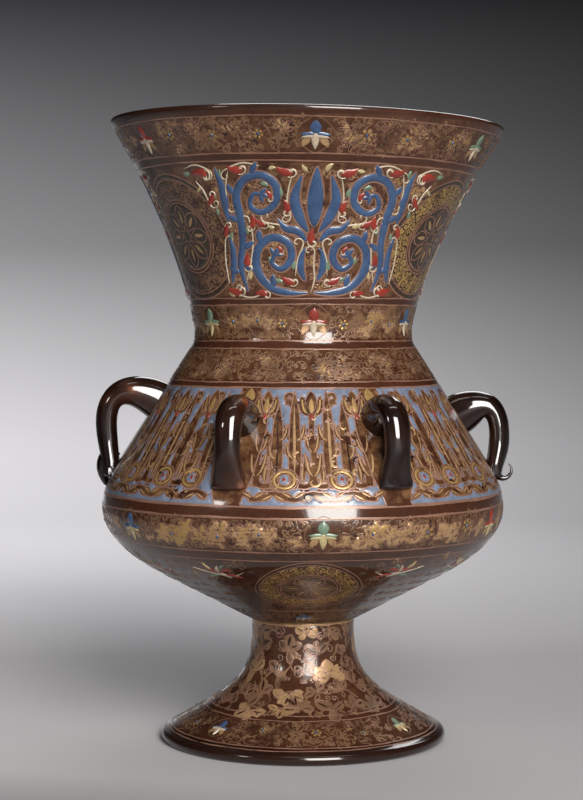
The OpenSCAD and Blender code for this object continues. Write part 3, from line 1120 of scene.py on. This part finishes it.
def body_panel(azimuth, half_angle, seed):
    """A pale blue ground with flowers, tall leaves and fruits left bare in it, mirrored about its middle."""
    rng = random.Random(seed)
    board, low, high = level_board(BODY, BODY_BAND, azimuth)
    half_w = math.radians(half_angle) * board.radius
    sides = through([(half_w + 7, low), (half_w + 2, 0.4 * low), (half_w, 0.3 * high),
                     (half_w + 5, 0.85 * high), (half_w + 7, high)], 5)
    edge = np.vstack([sides, mirrored(sides)[::-1]])
    panel = ReservedPanel(board, evenly_round(edge, 2.2), low, high)
    count = int(half_w / STAVE_GAP + 0.5)
    for k in range(count + 1):
        for side in (1, -1) if k else (1,):
            x = side * k * STAVE_GAP + rng.uniform(-0.4, 0.4)
            if FRIEZE[k]:
                tall_leaf(panel, x, side, FRIEZE[k], k % 3 == 1)
            else:
                tall_flower(panel, x, 0.6 * side)
    for k in range(count):
        for side in (1, -1):
            x = side * (k + 0.5) * STAVE_GAP
            if k % 2:
                round_fruit(panel, x, low + 14, 4.6)
                panel.bare(curl((x, high - 5.2), 2.6, 0.9, 90 + 90 * side, -side, 0.7, 1.0), 2.4)
            else:
                panel.bare(through([(x - 4, low + 17), (x - 3.4, low + 12), (x, low + 10.4),
                                    (x + 3.4, low + 12), (x + 4, low + 17)]), 3.0)
                panel.leaf([(x, low + 12), (x + 0.6 * side, low + 17), (x, low + 23)], 3.2)
                panel.bare(curl((x + side, 6), 2.4, 0.9, 90, -side, 0.6, 1.0), 2.0)
    wave_x = np.linspace(-half_w - 3, half_w + 3, 80)
    wave = np.stack([wave_x, low + 5.0 + 1.7 * np.cos(wave_x * TURN / (2 * STAVE_GAP))], 1)
    panel.bare(wave, 2.6)
    for k in range(-count, count + 1):
        x = k * STAVE_GAP
        rise = 1 if k % 2 else -1
        for side in (-1, 1):
            panel.leaf([(x, low + 5 - 1.2 * rise), (x + 2.6 * side, low + 5 + 0.6 * rise),
                        (x + 5.6 * side, low + 5 + 2.4 * rise)], 3.0)
    panel.finish(pale_blue)
    for _ in range(int(half_w * 0.9)):
        spot = (rng.uniform(-half_w, half_w), rng.uniform(low + 3, high - 3))
        path = loose_curl(rng, spot, rng.uniform(1.8, 3.6), rng.uniform(0.5, 0.9))
        layer = rng.choice((gilding, bright_gold, lines, dark_lines))
        layer.stroke(board, path, brush_width(len(path), rng.uniform(0.8, 1.7)), PANEL_CURL_LIFT)
    for _ in range(int(half_w * 0.9)):
        spot = point(rng.uniform(-half_w, half_w), rng.uniform(low + 3, high - 3))
        gilt_patch(board, spot, rng.uniform(1.0, 2.0), rng, rng.choice((bright_gold, gilding, gilding)))


def handle_surround(azimuth):
    """Painted lines beside a handle, on the glass left bare round it."""
    board = Board(BODY, azimuth, 165)
    for side in (-1, 1):
        path = evenly(through([(side * 4, 29), (side * 11.5, 19), (side * 12.5, 4), (side * 11, -14),
                               (side * 11, -30)]), 1.2)
        lines.stroke(board, path, LINE_W, LINE_LIFT)
    bright_gold.leaf(board, (0, 22.5), (0, 31), 5.5, RIB_LIFT)


# Underside and foot

# Petals of a spray: place, direction, size and colour
SPRAY = [(0, 0, 20, 9, red), (0, 0, 75, 7, white), (1, 1, 150, 9, red), (0, -1, 200, 8, green),
         (-1, 0, 320, 8, white), (2, 3, 50, 6, green), (-3, 3, 115, 7, yellow), (3, -2, 345, 9, red)]
LEAF_ROWS = 5


def spray(azimuth, height, side):
    """A loose spray of petals and leaves."""
    board = Board(BODY, azimuth, height)
    flip = np.array([side, 1])
    for x, y, angle, size, colour in SPRAY:
        base = point(side * x, y)
        tip = base + size * (flip * heading(math.radians(angle)))
        colour.leaf(board, base, tip, 0.3 * size, PETAL_LIFT, sag=0.2 * side)
    stem = through(np.array([(-14, 4), (-5, 0), (6, -3), (15, 2)]) * flip)
    white.stroke(board, stem, brush_width(len(stem), 1.1), DROP_LIFT, domed=True)


def under_ground(seed):
    """Loose scrolls and gold leaves between the underside's medallions."""
    rng = random.Random(seed)
    for azimuth in range(0, 360, 6):
        off = abs((azimuth + 60) % 120 - 60)
        for height in (80, 85, 90, 95, 100, 104):
            board = Board(BODY, azimuth + rng.uniform(-2, 2), height)
            if off * math.radians(1) * board.radius < 30:
                continue
            twig(board, loose_curl(rng, (0, 0), rng.uniform(2.2, 3.6), 1.3), rng, 2.2)
            if rng.random() < 0.3:
                gilt_patch(board, somewhere(rng, 4, 3), rng.uniform(1.8, 3.4), rng)


def gilt_spray(board, root, turn, size, rng):
    """Gold leaves from one root, some with a fired line round them or a dark eye."""
    root = np.array(root, float)
    gold = rng.choice((gilding, scrolls, scrolls))
    for angle in (90, 35, 145, -10, 190):
        way = heading(math.radians(angle + turn + rng.uniform(-12, 12)))
        reach = size * rng.uniform(0.75, 1.15)
        tip = root + reach * way
        middle = (root + tip) / 2 + rng.uniform(-0.35, 0.35) * left_of(tip - root)
        path = bend(root, middle, tip, max(6, int(reach)))
        widths = leaf_width(len(path), rng.uniform(0.45, 0.75) * reach, 0.58)
        gold.stroke(board, path, widths, GILT_LIFT, domed=True)
        if rng.random() < 0.5:
            rim_line(board, path, widths, 0.2, 0.45)
        if rng.random() < 0.6:
            eye = leaf_width(len(path) - 3, rng.uniform(0.1, 0.26) * reach, 0.5, 0.2)
            dark_lines.stroke(board, path[2:-1], eye, LINE_LIFT)


def foot_leaves(seed):
    """Gold foliage from the joint down to the double line, with curls in its gaps."""
    rng = random.Random(seed)
    low, high = FOOT.at_height(FOOT_TOP_LINES[1]) + 4, FOOT.at_height(FOOT_H) - 4
    for i in range(LEAF_ROWS):
        along = low + (high - low) * i / (LEAF_ROWS - 1)
        radius, height = FOOT.place(along)[:2]
        count = int(TURN * radius / 15)
        for k in range(count):
            board = Board(FOOT, 360 * (k + 0.5 * (i % 2)) / count + rng.uniform(-4, 4), height)
            turn = rng.choice((0, 0, 180, 60, -60))
            gilt_spray(board, (0, rng.uniform(-2, 2)), turn, rng.uniform(6.0, 9.5), rng)
            flip = np.array([rng.choice((-1, 1)), 1])
            stem = through(np.array([(-8, -5), (-3, 1), (4, 1), (8, 6)]) * flip)
            scrolls.stroke(board, stem, brush_width(len(stem), 1.5, 0.6, 0.4), GILT_LIFT)
            for _ in range(3):
                path = loose_curl(rng, somewhere(rng, 8, 4), rng.uniform(1.2, 2.8), 1.1)
                lines.stroke(board, path, 0.5, FOOT_CURL_LIFT)
            gilt_patch(board, somewhere(rng, 8, 4), rng.uniform(1.2, 2.2), rng, bright_gold)


def paint_neck():
    rim = range(2, 360, 60)
    hoop(lines, BODY, RIM_BAND[1], 0.6, phase=2)
    scroll_band(BODY, RIM_BAND, 11, 130, 16, cell=5.8, clear=rim, shadows=130)
    flower_row(BODY, 315.8, rim, 8.0, [(blue, white), (green, white), (red, white)], 12)
    double_hoop(BODY, NECK_LINES)
    for k, azimuth in enumerate(PANEL_AZIMUTHS):
        neck_panel(azimuth, 20 + k)
    for k, azimuth in enumerate(MEDALLION_AZIMUTHS):
        gold = scrolls if k else bright_gold
        medallion(Board(BODY, azimuth, NECK_MIDDLE), MEDALLION_R, random.Random(30 + k), 8, gold)
    double_hoop(BODY, WAIST_TOP_LINES)


def paint_shoulder():
    waist = range(5, 360, 60)
    scroll_band(BODY, WAIST_BAND, 41, 95, 10, clear=waist, shadows=60, patch_lift=HIGH_GILT_LIFT)
    flower_row(BODY, 224.4, waist, 7.6, [(red, white), (blue, white), (green, yellow)], 42)
    double_hoop(BODY, WAIST_LOW_LINES)
    scroll_band(BODY, SHOULDER_BAND, 51, 70, 18, cell=5.8, shadows=80)
    double_hoop(BODY, SHOULDER_LINES)


def paint_bowl():
    around = sorted(azimuth for _, azimuth, _ in HANDLES)
    for k, azimuth in enumerate(around):
        span = (around[(k + 1) % len(around)] - azimuth) % 360
        body_panel(azimuth + span / 2, span / 2 - 8, 60 + k)
        handle_surround(azimuth)
    double_hoop(BODY, BELLY_TOP_LINES, 1.0)
    belly = range(5, 360, 60)
    scroll_band(BODY, BELLY_BAND, 71, 130, 14, cell=5.6, clear=belly, patch_size=4.6, shadows=240,
                patch_lift=HIGH_GILT_LIFT)
    flower_row(BODY, 120.2, belly, 7.8, [(green, yellow), (red, yellow), (blue, yellow)], 72)
    double_hoop(BODY, BELLY_LOW_LINES)
    for k in range(3):
        middle = 2 + 120 * k
        medallion(Board(BODY, middle, 90.5), 27.5, random.Random(80 + k), 6, bright_gold)
        for off, height, side in ((-30, 99, 1), (30, 99, -1), (60, 98, 1)):
            spray(middle + off, height, side)
    under_ground(85)
    stem_flowers = range(0, 360, 120)
    scroll_band(BODY, STEM_BAND, 86, 16, 0, cell=4.4, clear=stem_flowers, clear_r=6, patch_size=2.4)
    for azimuth in stem_flowers:
        blossom(BODY, azimuth, 70, 4.6, blue, white, framed=False)
    hoop(gilding, BODY, 74.6, 0.9)
    hoop(gilding, BODY, FOOT_H + 0.4, 1.5)


def paint_foot():
    hoop(gilding, FOOT, FOOT_H - 0.7, 1.3)
    foot_leaves(91)
    double_hoop(FOOT, FOOT_TOP_LINES, 0.7)
    flowers = [-45, 55, 145, 232]
    scroll_band(FOOT, FOOT_BAND, 95, 26, 6, cell=7.0, clear=flowers, clear_r=8, patch_size=2.2)
    flower_row(FOOT, 13.2, flowers, 6.0, [(blue, white), (green, yellow)], 96)
    double_hoop(FOOT, FOOT_LOW_LINES, 0.7)


# Materials

def feed(tree, value, socket):
    """Feeds a socket from another one, or sets it to a number or a colour."""
    if isinstance(value, bpy.types.NodeSocket):
        tree.links.new(value, socket)
    else:
        socket.default_value = (*value, 1) if isinstance(value, tuple) else value


def dress(tree, shader, **values):
    for key, value in values.items():
        feed(tree, value, shader.inputs[key.replace("_", " ").title().replace("Ior", "IOR")])


def new_material(name, **values):
    material = bpy.data.materials.new(name)
    material.use_nodes = True
    shader = material.node_tree.nodes["Principled BSDF"]
    dress(material.node_tree, shader, **values)
    return material, material.node_tree, shader


def add_node(tree, kind, **values):
    """A node with its settings, and its sockets set or fed."""
    node = tree.nodes.new("ShaderNode" + kind)
    for key, value in values.items():
        label = key.replace("_", " ")
        if label in node.inputs:
            feed(tree, value, node.inputs[label])
        else:
            setattr(node, key, value)
    return node


def add_math(tree, operation, *values):
    node = add_node(tree, "Math", operation=operation)
    for value, socket in zip(values, node.inputs):
        feed(tree, value, socket)
    return node.outputs[0]


def add_mix(tree, factor, a, b, blend="MIX"):
    node = add_node(tree, "Mix", data_type="RGBA", blend_type=blend, Factor=factor, A=a, B=b)
    return node.outputs["Result"]


def add_range(tree, value, low, high, to_low=0.0, to_high=1.0):
    """Maps a value from one span to another, and holds it at the ends."""
    node = add_node(tree, "MapRange", Value=value, From_Min=low, From_Max=high, To_Min=to_low, To_Max=to_high)
    return node.outputs[0]


def add_ramp(tree, source, stops, stepped=False):
    """A colour ramp over a value: stops are (place, colour), or (place, grey)."""
    ramp = add_node(tree, "ValToRGB", Fac=source)
    ramp.color_ramp.interpolation = "CONSTANT" if stepped else "LINEAR"
    elements = ramp.color_ramp.elements
    while len(elements) < len(stops):
        elements.new(0.5)
    for element, (place, colour) in zip(elements, stops):
        element.position = place
        element.color = (*colour, 1) if isinstance(colour, tuple) else (colour, colour, colour, 1)
    return ramp.outputs["Color"]


def object_place(tree):
    return add_node(tree, "TexCoord").outputs["Object"]


def object_parts(tree):
    return add_node(tree, "SeparateXYZ", Vector=object_place(tree)).outputs


def add_noise(tree, scale, detail, roughness):
    noise = add_node(tree, "TexNoise", Vector=object_place(tree), Scale=scale, Detail=detail,
                     Roughness=roughness)
    return noise.outputs["Fac"]


def add_bump(tree, height, strength, distance=0.0005):
    return add_node(tree, "Bump", Strength=strength, Distance=distance, Height=height).outputs["Normal"]


def new_group(name, inputs, outputs):
    group = bpy.data.node_groups.new(name, "ShaderNodeTree")
    for label, kind, value in inputs:
        made = group.interface.new_socket(label, in_out="INPUT", socket_type="NodeSocket" + kind)
        made.default_value = value
    for label, kind in outputs:
        group.interface.new_socket(label, in_out="OUTPUT", socket_type="NodeSocket" + kind)
    return group, group.nodes.new("NodeGroupInput").outputs, group.nodes.new("NodeGroupOutput").inputs


def mottle_group():
    """Two sizes of cloudy variation between a colour and its darker shade, and a bump height."""
    group, given, put = new_group(
        "cloudy_colour",
        [("Colour", "Color", (1, 1, 1, 1)), ("Shade", "Color", (0.5, 0.5, 0.5, 1)),
         ("Scale", "Float", 60.0), ("Fine Scale", "Float", 400.0)],
        [("Colour", "Color"), ("Height", "Float"), ("Cloud", "Float")])
    broad = add_noise(group, given["Scale"], 3.0, 0.6)
    fine = add_noise(group, given["Fine Scale"], 5.0, 0.65)
    both = add_math(group, "MULTIPLY_ADD", fine, 0.6, add_math(group, "MULTIPLY", broad, 0.9))
    cloud = add_range(group, both, 0.5, 1.0)
    feed(group, add_mix(group, cloud, given["Shade"], given["Colour"]), put["Colour"])
    feed(group, fine, put["Height"])
    feed(group, cloud, put["Cloud"])
    return group


def wear_group():
    """A mask of rubbed places: 1 where the finish is kept and 0 where it is worn away."""
    group, given, put = new_group(
        "rubbed_places",
        [("Scale", "Float", 90.0), ("Kept From", "Float", 0.4), ("Kept To", "Float", 0.55)],
        [("Mask", "Float"), ("Grain", "Float")])
    grain = add_noise(group, given["Scale"], 6.0, 0.7)
    feed(group, add_range(group, grain, given["Kept From"], given["Kept To"]), put["Mask"])
    feed(group, grain, put["Grain"])
    return group


def use_group(tree, group, **values):
    """Uses a node group, and gives its outputs."""
    node = tree.nodes.new("ShaderNodeGroup")
    node.node_tree = group
    for key, value in values.items():
        feed(tree, value, node.inputs[key.replace("_", " ")])
    return node.outputs


CLOUDY = mottle_group()
RUBBED = wear_group()

GLASS_BROWN = (0.058, 0.021, 0.011)
GLASS_DEEP = (0.024, 0.0085, 0.0045)
GLASS_THICK = (0.010, 0.004, 0.003)
WORN_GILDING = (0.19, 0.10, 0.045)
CHAR = (0.012, 0.01, 0.009)
GLASS_IOR = 1.5
LAMP_TOP = 340

# How much worn gilding the levels carry, from the lip up: height and share
GILDED_LEVELS = [
    (0, 0), (FOOT_BAND[0], 0.12), (FOOT_BAND[1], 0), (FOOT_LEAVES[0], 0.15), (STEM_BAND[1], 0.08),
    (BELLY_BAND[0], 0.22), (BELLY_BAND[1], 0), (BODY_BAND[0], 0.55), (BODY_BAND[1], 0),
    (SHOULDER_BAND[0], 0.3), (SHOULDER_BAND[1], 0), (WAIST_BAND[0], 0.7), (WAIST_BAND[1], 0),
    (NECK_PANEL[0], 0.4), (NECK_PANEL[1], 0), (RIM_BAND[0], 0.2), (RIM_BAND[1], 0)]

# How much darker the glass is where it is thick, mostly at the lip and the rim: height and share
THICK_LEVELS = [
    (0, 0.85), (FOOT_LOW_LINES[0], 0.1), (STEM_BAND[0], 0.2), (UNDER_BAND[0], 0.1), (BELLY_BAND[0], 0),
    (RIM_BAND[1], 0.1), (WAIST_Z + FUNNEL_H, 0.6)]

# Gilding: layer, material, gold, its shade, where wear starts and ends, its scale, how metallic it is
GILDINGS = [
    (scrolls, "scroll_gold", (0.20, 0.11, 0.060), (0.12, 0.065, 0.036), 0.36, 0.5, 60.0, 0.3),
    (gilding, "leaf_gold", (0.43, 0.27, 0.14), (0.26, 0.15, 0.07), 0.33, 0.44, 130.0, 0.4),
    (bright_gold, "bright_gold", (0.42, 0.265, 0.10), (0.28, 0.17, 0.06), 0.34, 0.46, 120.0, 0.5),
    (lines, "line_gold", (0.27, 0.145, 0.10), (0.17, 0.088, 0.06), 0.3, 0.44, 70.0, 0.3)]

# Enamels: layer, material, colour, its shade, roughness
ENAMELS = [
    (dark_lines, "dark_drawing", (0.026, 0.009, 0.006), (0.013, 0.005, 0.003), 0.1),
    (dark_field, "dark_field", (0.036, 0.021, 0.012), (0.020, 0.012, 0.007), 0.1),
    (blue, "blue_enamel", (0.040, 0.080, 0.165), (0.018, 0.036, 0.085), 0.24),
    (pale_blue, "pale_blue_enamel", (0.15, 0.18, 0.245), (0.08, 0.092, 0.135), 0.24),
    (red, "red_enamel", (0.25, 0.028, 0.016), (0.13, 0.015, 0.009), 0.24),
    (white, "white_enamel", (0.44, 0.36, 0.27), (0.30, 0.24, 0.17), 0.24),
    (green, "green_enamel", (0.13, 0.19, 0.125), (0.075, 0.115, 0.08), 0.24),
    (yellow, "yellow_enamel", (0.38, 0.31, 0.16), (0.26, 0.20, 0.10), 0.24)]


def by_height(tree, levels):
    """A value that changes in steps with the height."""
    height = add_range(tree, object_parts(tree)["Z"], 0, LAMP_TOP * MM)
    return add_ramp(tree, height, [(z / LAMP_TOP, share) for z, share in levels], stepped=True)


def brown_glass(name, gilded):
    """Brown glass, cloudy and darker where it is thick, with worn gilding on its outside."""
    material, tree, shader = new_material(name, coat_weight=0.4, coat_roughness=0.02, ior=GLASS_IOR,
                                          specular_ior_level=0.36)
    cloudy = use_group(tree, CLOUDY, Colour=GLASS_BROWN, Shade=GLASS_DEEP, Scale=28.0, Fine_Scale=420.0)
    colour = cloudy["Colour"]
    if gilded:
        worn = use_group(tree, RUBBED, Scale=170.0, Kept_From=0.42, Kept_To=0.62)
        share = add_math(tree, "MULTIPLY", by_height(tree, GILDED_LEVELS), worn["Mask"])
        colour = add_mix(tree, share, colour, WORN_GILDING)
    dress(tree, shader,
          base_color=add_mix(tree, by_height(tree, THICK_LEVELS), colour, GLASS_THICK),
          roughness=add_range(tree, cloudy["Cloud"], 0, 1, 0.17, 0.09),
          normal=add_bump(tree, cloudy["Height"], 0.05))
    return material


def gilt(name, gold, shade, kept_from, kept_to, scale, metallic):
    """Gold leaf that is rubbed through to the brown glass."""
    material, tree, shader = new_material(name, coat_weight=0.15, coat_roughness=0.1)
    rubbed = use_group(tree, RUBBED, Scale=scale, Kept_From=kept_from, Kept_To=kept_to)
    cloudy = use_group(tree, CLOUDY, Colour=gold, Shade=shade, Scale=120.0, Fine_Scale=900.0)
    dress(tree, shader,
          base_color=add_mix(tree, rubbed["Mask"], GLASS_DEEP, cloudy["Colour"]),
          metallic=add_range(tree, rubbed["Mask"], 0, 1, 0.0, metallic),
          roughness=add_range(tree, rubbed["Mask"], 0, 1, 0.25, 0.36),
          normal=add_bump(tree, rubbed["Grain"], 0.25, 0.0003))
    return material


def clouded(name, colour, shade, scales, gloss, bump, **values):
    """A material that varies in clouds. Its gloss is the roughness in the shade and in the colour."""
    material, tree, shader = new_material(name, **values)
    cloudy = use_group(tree, CLOUDY, Colour=colour, Shade=shade, Scale=scales[0], Fine_Scale=scales[1])
    dress(tree, shader,
          base_color=cloudy["Colour"],
          roughness=add_range(tree, cloudy["Cloud"], 0, 1, *gloss),
          normal=add_bump(tree, cloudy["Height"], *bump))
    return material


def enamel(name, colour, shade, roughness):
    """Fired enamel: cloudy colour under a glassy skin."""
    return clouded(name, colour, shade, (140.0, 700.0), (roughness + 0.12, roughness), (0.3, 0.0004),
                   coat_weight=0.35, coat_roughness=0.08)


def worn_metal(name, colour, shade, roughness):
    return clouded(name, colour, shade, (190.0, 1300.0), (roughness + 0.2, roughness), (0.2, 0.0002),
                   metallic=1.0)


def cup_glass():
    return clouded("clear_greenish_glass", (0.86, 0.93, 0.86), (0.66, 0.8, 0.68), (35.0, 180.0), (0.1, 0.03),
                   (0.1, 0.0004), ior=GLASS_IOR, transmission_weight=0.92)


def amber_glass():
    """Thick glass that looks nearly black, brown in places, with amber patches of painted glow where light
    would gather in it.
    """
    material, tree, shader = new_material("dark_amber_glass", ior=GLASS_IOR, coat_weight=0.5,
                                          coat_roughness=0.01)
    tone_and_painted_glow = add_noise(tree, 34.0, 2.0, 0.5)
    seeds = add_noise(tree, 240.0, 3.0, 0.6)
    dress(tree, shader,
          # The dark stops vary the glass's own tone; the amber stop is painted glow, as if light gathered in
          # the glass
          base_color=add_ramp(tree, tone_and_painted_glow, [
              (0.42, (0.005, 0.002, 0.0015)), (0.58, (0.013, 0.005, 0.003)),
              (0.67, (0.032, 0.011, 0.006)), (0.73, (0.20, 0.048, 0.011))]),
          roughness=add_range(tree, seeds, 0, 1, 0.03, 0.13),
          normal=add_bump(tree, seeds, 0.07, 0.0004))
    return material


def cut_cork():
    material, tree, shader = new_material("cut_cork", roughness=0.85)
    cells = add_node(tree, "TexVoronoi", Vector=object_place(tree), Scale=520.0)
    dress(tree, shader,
          base_color=add_ramp(tree, add_noise(tree, 260.0, 6.0, 0.75), [
              (0.3, (0.07, 0.03, 0.014)), (0.42, (0.34, 0.18, 0.085)), (0.7, (0.5, 0.3, 0.16))]),
          normal=add_bump(tree, cells.outputs["Distance"], 0.5, 0.0006))
    return material


def braided_cotton(top):
    """Cotton that is charred at its burning end."""
    material, tree, shader = new_material("braided_cotton", roughness=0.95, sheen_weight=0.3)
    charred = add_range(tree, object_parts(tree)["Z"], top - 0.005, top - 0.001)
    cloudy = use_group(tree, CLOUDY, Colour=(0.72, 0.66, 0.52), Shade=(0.5, 0.42, 0.28),
                       Scale=500.0, Fine_Scale=2600.0)
    dress(tree, shader,
          base_color=add_mix(tree, charred, cloudy["Colour"], CHAR),
          normal=add_bump(tree, cloudy["Height"], 0.6, 0.0002))
    return material


# Inner pieces

WICK_ROWS = 90
WICK_SIDES = 48
STRANDS = 4
BRAID_PITCH = 9.0


def make_wick():
    """A braided wick: two families of strands wind round it in opposite ways."""
    low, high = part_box("wick")
    low, high = low / MM, high / MM
    radius = (high.x - low.x) / 2
    z = np.linspace(low.z, high.z, WICK_ROWS)[:, None]
    a = np.linspace(0, TURN, WICK_SIDES + 1)[:-1][None, :]
    left = np.abs(np.cos(STRANDS * (a + TURN * z / BRAID_PITCH / STRANDS)))
    right = np.abs(np.cos(STRANDS * (a - TURN * z / BRAID_PITCH / STRANDS)))
    share = (z - low.z) / (high.z - low.z)
    r = radius * (0.84 + 0.16 * np.maximum(left, right)) * (1 - 0.18 * ease(12 * share - 11))
    points = spun(r.ravel(), np.repeat(z, WICK_SIDES), np.tile(a.ravel(), WICK_ROWS))
    faces = grid_faces(WICK_ROWS, WICK_SIDES, False, True)
    faces.append(tuple(range(WICK_SIDES - 1, -1, -1)))
    last = (WICK_ROWS - 1) * WICK_SIDES
    faces.append(tuple(range(last, last + WICK_SIDES)))
    piece = new_piece("braided_wick", points, faces, braided_cotton(high.z * MM), "cotton", "wick")
    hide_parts("wick")


def finish_node(name, material):
    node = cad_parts[name]
    if not node.material_slots:
        node.data.materials.append(material)
    for place in node.material_slots:
        place.material = material


# Studio, in metres

LAMP_MIDDLE = Vector((0, 0, 0.17))
FLOOR_FLAT = 1.2
SWEEP_R = 0.9
WALL_TOP = 3.4


def backdrop_paper_painted_falloff():
    """Pale paper with painted light falloff: painted shade makes it darker towards the wall's top and right,
    and on the floor before the lamp.
    """
    material, tree, shader = new_material("backdrop_paper_painted_falloff", roughness=0.9, specular_ior_level=0.1)
    parts = object_parts(tree)
    # Painted light falloff: the paper's colour is darker up the wall, and darker to each side of a bright
    # patch left of the middle, as lights would make it
    painted_falloff_up = add_ramp(tree, add_range(tree, parts["Z"], 0, 1), [
        (0.0, (0.66, 0.65, 0.67)), (0.06, (0.63, 0.62, 0.64)), (0.34, (0.22, 0.22, 0.228)),
        (0.75, (0.029, 0.028, 0.032))])
    painted_falloff_across = add_ramp(tree, add_range(tree, parts["X"], -1.5, 1.5), [
        (0.22, 0.15), (0.34, 1), (0.66, 0.38), (0.78, 0.26)])
    # Painted shade on the floor before the lamp, darker towards the front and towards the left
    aslant = add_math(tree, "MULTIPLY_ADD", parts["X"], 0.3, parts["Y"])
    painted_floor_shade = add_ramp(tree, add_range(tree, aslant, -0.8, 0.4), [
        (0.0, 0.4), (0.4, 0.36), (0.5, 0.5), (0.56, 0.8), (0.75, 0.88), (1.0, 1)])
    painted_light_falloff = add_mix(tree, 1.0, add_mix(tree, 1.0, painted_falloff_up, painted_falloff_across, "MULTIPLY"), painted_floor_shade, "MULTIPLY")
    # Painted shade: the floor nearest the camera is painted dark grey
    before = add_range(tree, parts["Y"], -0.35, -0.95)
    dress(tree, shader, base_color=add_mix(tree, before, painted_light_falloff, (0.2, 0.2, 0.205)))
    return material


def make_backdrop():
    """A round floor that sweeps up into a wall."""
    sweep = [(0.01, 0.0), (0.6, 0.0)]
    for t in np.linspace(0, math.pi / 2, 20):
        sweep.append((FLOOR_FLAT + SWEEP_R * math.sin(t), SWEEP_R * (1 - math.cos(t))))
    sweep.append((FLOOR_FLAT + SWEEP_R, WALL_TOP))
    turn = np.linspace(0, TURN, 97)[:-1]
    points = [(r * math.sin(t), -r * math.cos(t), z) for r, z in sweep for t in turn]
    faces = grid_faces(len(sweep), len(turn), False, True)
    faces.append(tuple(range(len(turn))))
    new_mesh("backdrop", points, faces, backdrop_paper_painted_falloff())


def softbox(name, place, target, width, height, power, colour=(1, 1, 1)):
    light = bpy.data.lights.new(name, "AREA")
    light.shape = "RECTANGLE"
    light.size = width
    light.size_y = height
    light.energy = power
    light.color = colour
    box = put_in_scene(name, light)
    box.location = place
    box.rotation_euler = (Vector(target) - Vector(place)).to_track_quat("-Z", "Y").to_euler()


def round_lamp(azimuth, elevation, distance):
    """A place round the lamp's middle."""
    a, e = math.radians(azimuth), math.radians(elevation)
    out = Vector((math.sin(a) * math.cos(e), -math.cos(a) * math.cos(e), math.sin(e)))
    return LAMP_MIDDLE + distance * out


def make_studio():
    make_backdrop()
    softbox("key_softbox", round_lamp(16, 20, 1.7), LAMP_MIDDLE, 0.8, 1.15, 56, (1.0, 0.97, 0.93))
    softbox("left_softbox", round_lamp(-50, 22, 1.7), LAMP_MIDDLE, 0.22, 0.22, 2.6, (1.0, 0.98, 0.96))
    softbox("back_softbox", round_lamp(168, 42, 1.75), LAMP_MIDDLE, 1.0, 1.0, 12)
    softbox("wall_light", (-0.25, 0.5, 1.0), (-0.25, 1.5, 0.75), 1.2, 0.4, 15.5)
    softbox("front_wall_light", (0.3, -0.7, 2.3), (0.7, -2.0, 1.4), 1.6, 0.5, 14)
    world = bpy.data.worlds.new("studio")
    world.use_nodes = True
    air = world.node_tree.nodes["Background"]
    air.inputs["Color"].default_value = (0.9, 0.92, 1.0, 1)
    air.inputs["Strength"].default_value = 0.1
    bpy.context.scene.world = world
    bpy.context.scene.view_settings.view_transform = "Standard"


def make_camera():
    lens = bpy.data.cameras.new("camera")
    lens.lens = 87.75
    lens.sensor_width = 36
    camera = put_in_scene("camera", lens)
    camera.location = (-0.0062, -1.053, 0.223)
    camera.rotation_euler = (math.radians(87.8), 0, 0)
    bpy.context.scene.camera = camera


def make_lamp():
    glass = brown_glass("brown_glass", True)
    inside = brown_glass("plain_brown_glass", False)
    make_glass_body(glass, inside)
    make_foot(glass, inside)
    dark = amber_glass()
    rng = random.Random(5)
    for name, azimuth, drop in HANDLES:
        make_handle(name, azimuth, drop, dark, rng)
    paint_neck()
    paint_shoulder()
    paint_bowl()
    paint_foot()
    for layer, *look in GILDINGS:
        layer.piece(gilt(*look))
    for layer, *look in ENAMELS:
        layer.piece(enamel(*look))
    finish_node("oil_cup", cup_glass())
    finish_node("cork_float", cut_cork())
    finish_node("float_plate", worn_metal("tinned_sheet", (0.62, 0.62, 0.6), (0.3, 0.29, 0.27), 0.3))
    finish_node("wick_tube", worn_metal("drawn_brass", (0.62, 0.44, 0.16), (0.3, 0.18, 0.06), 0.28))
    make_wick()


make_camera()
make_studio()
make_lamp()
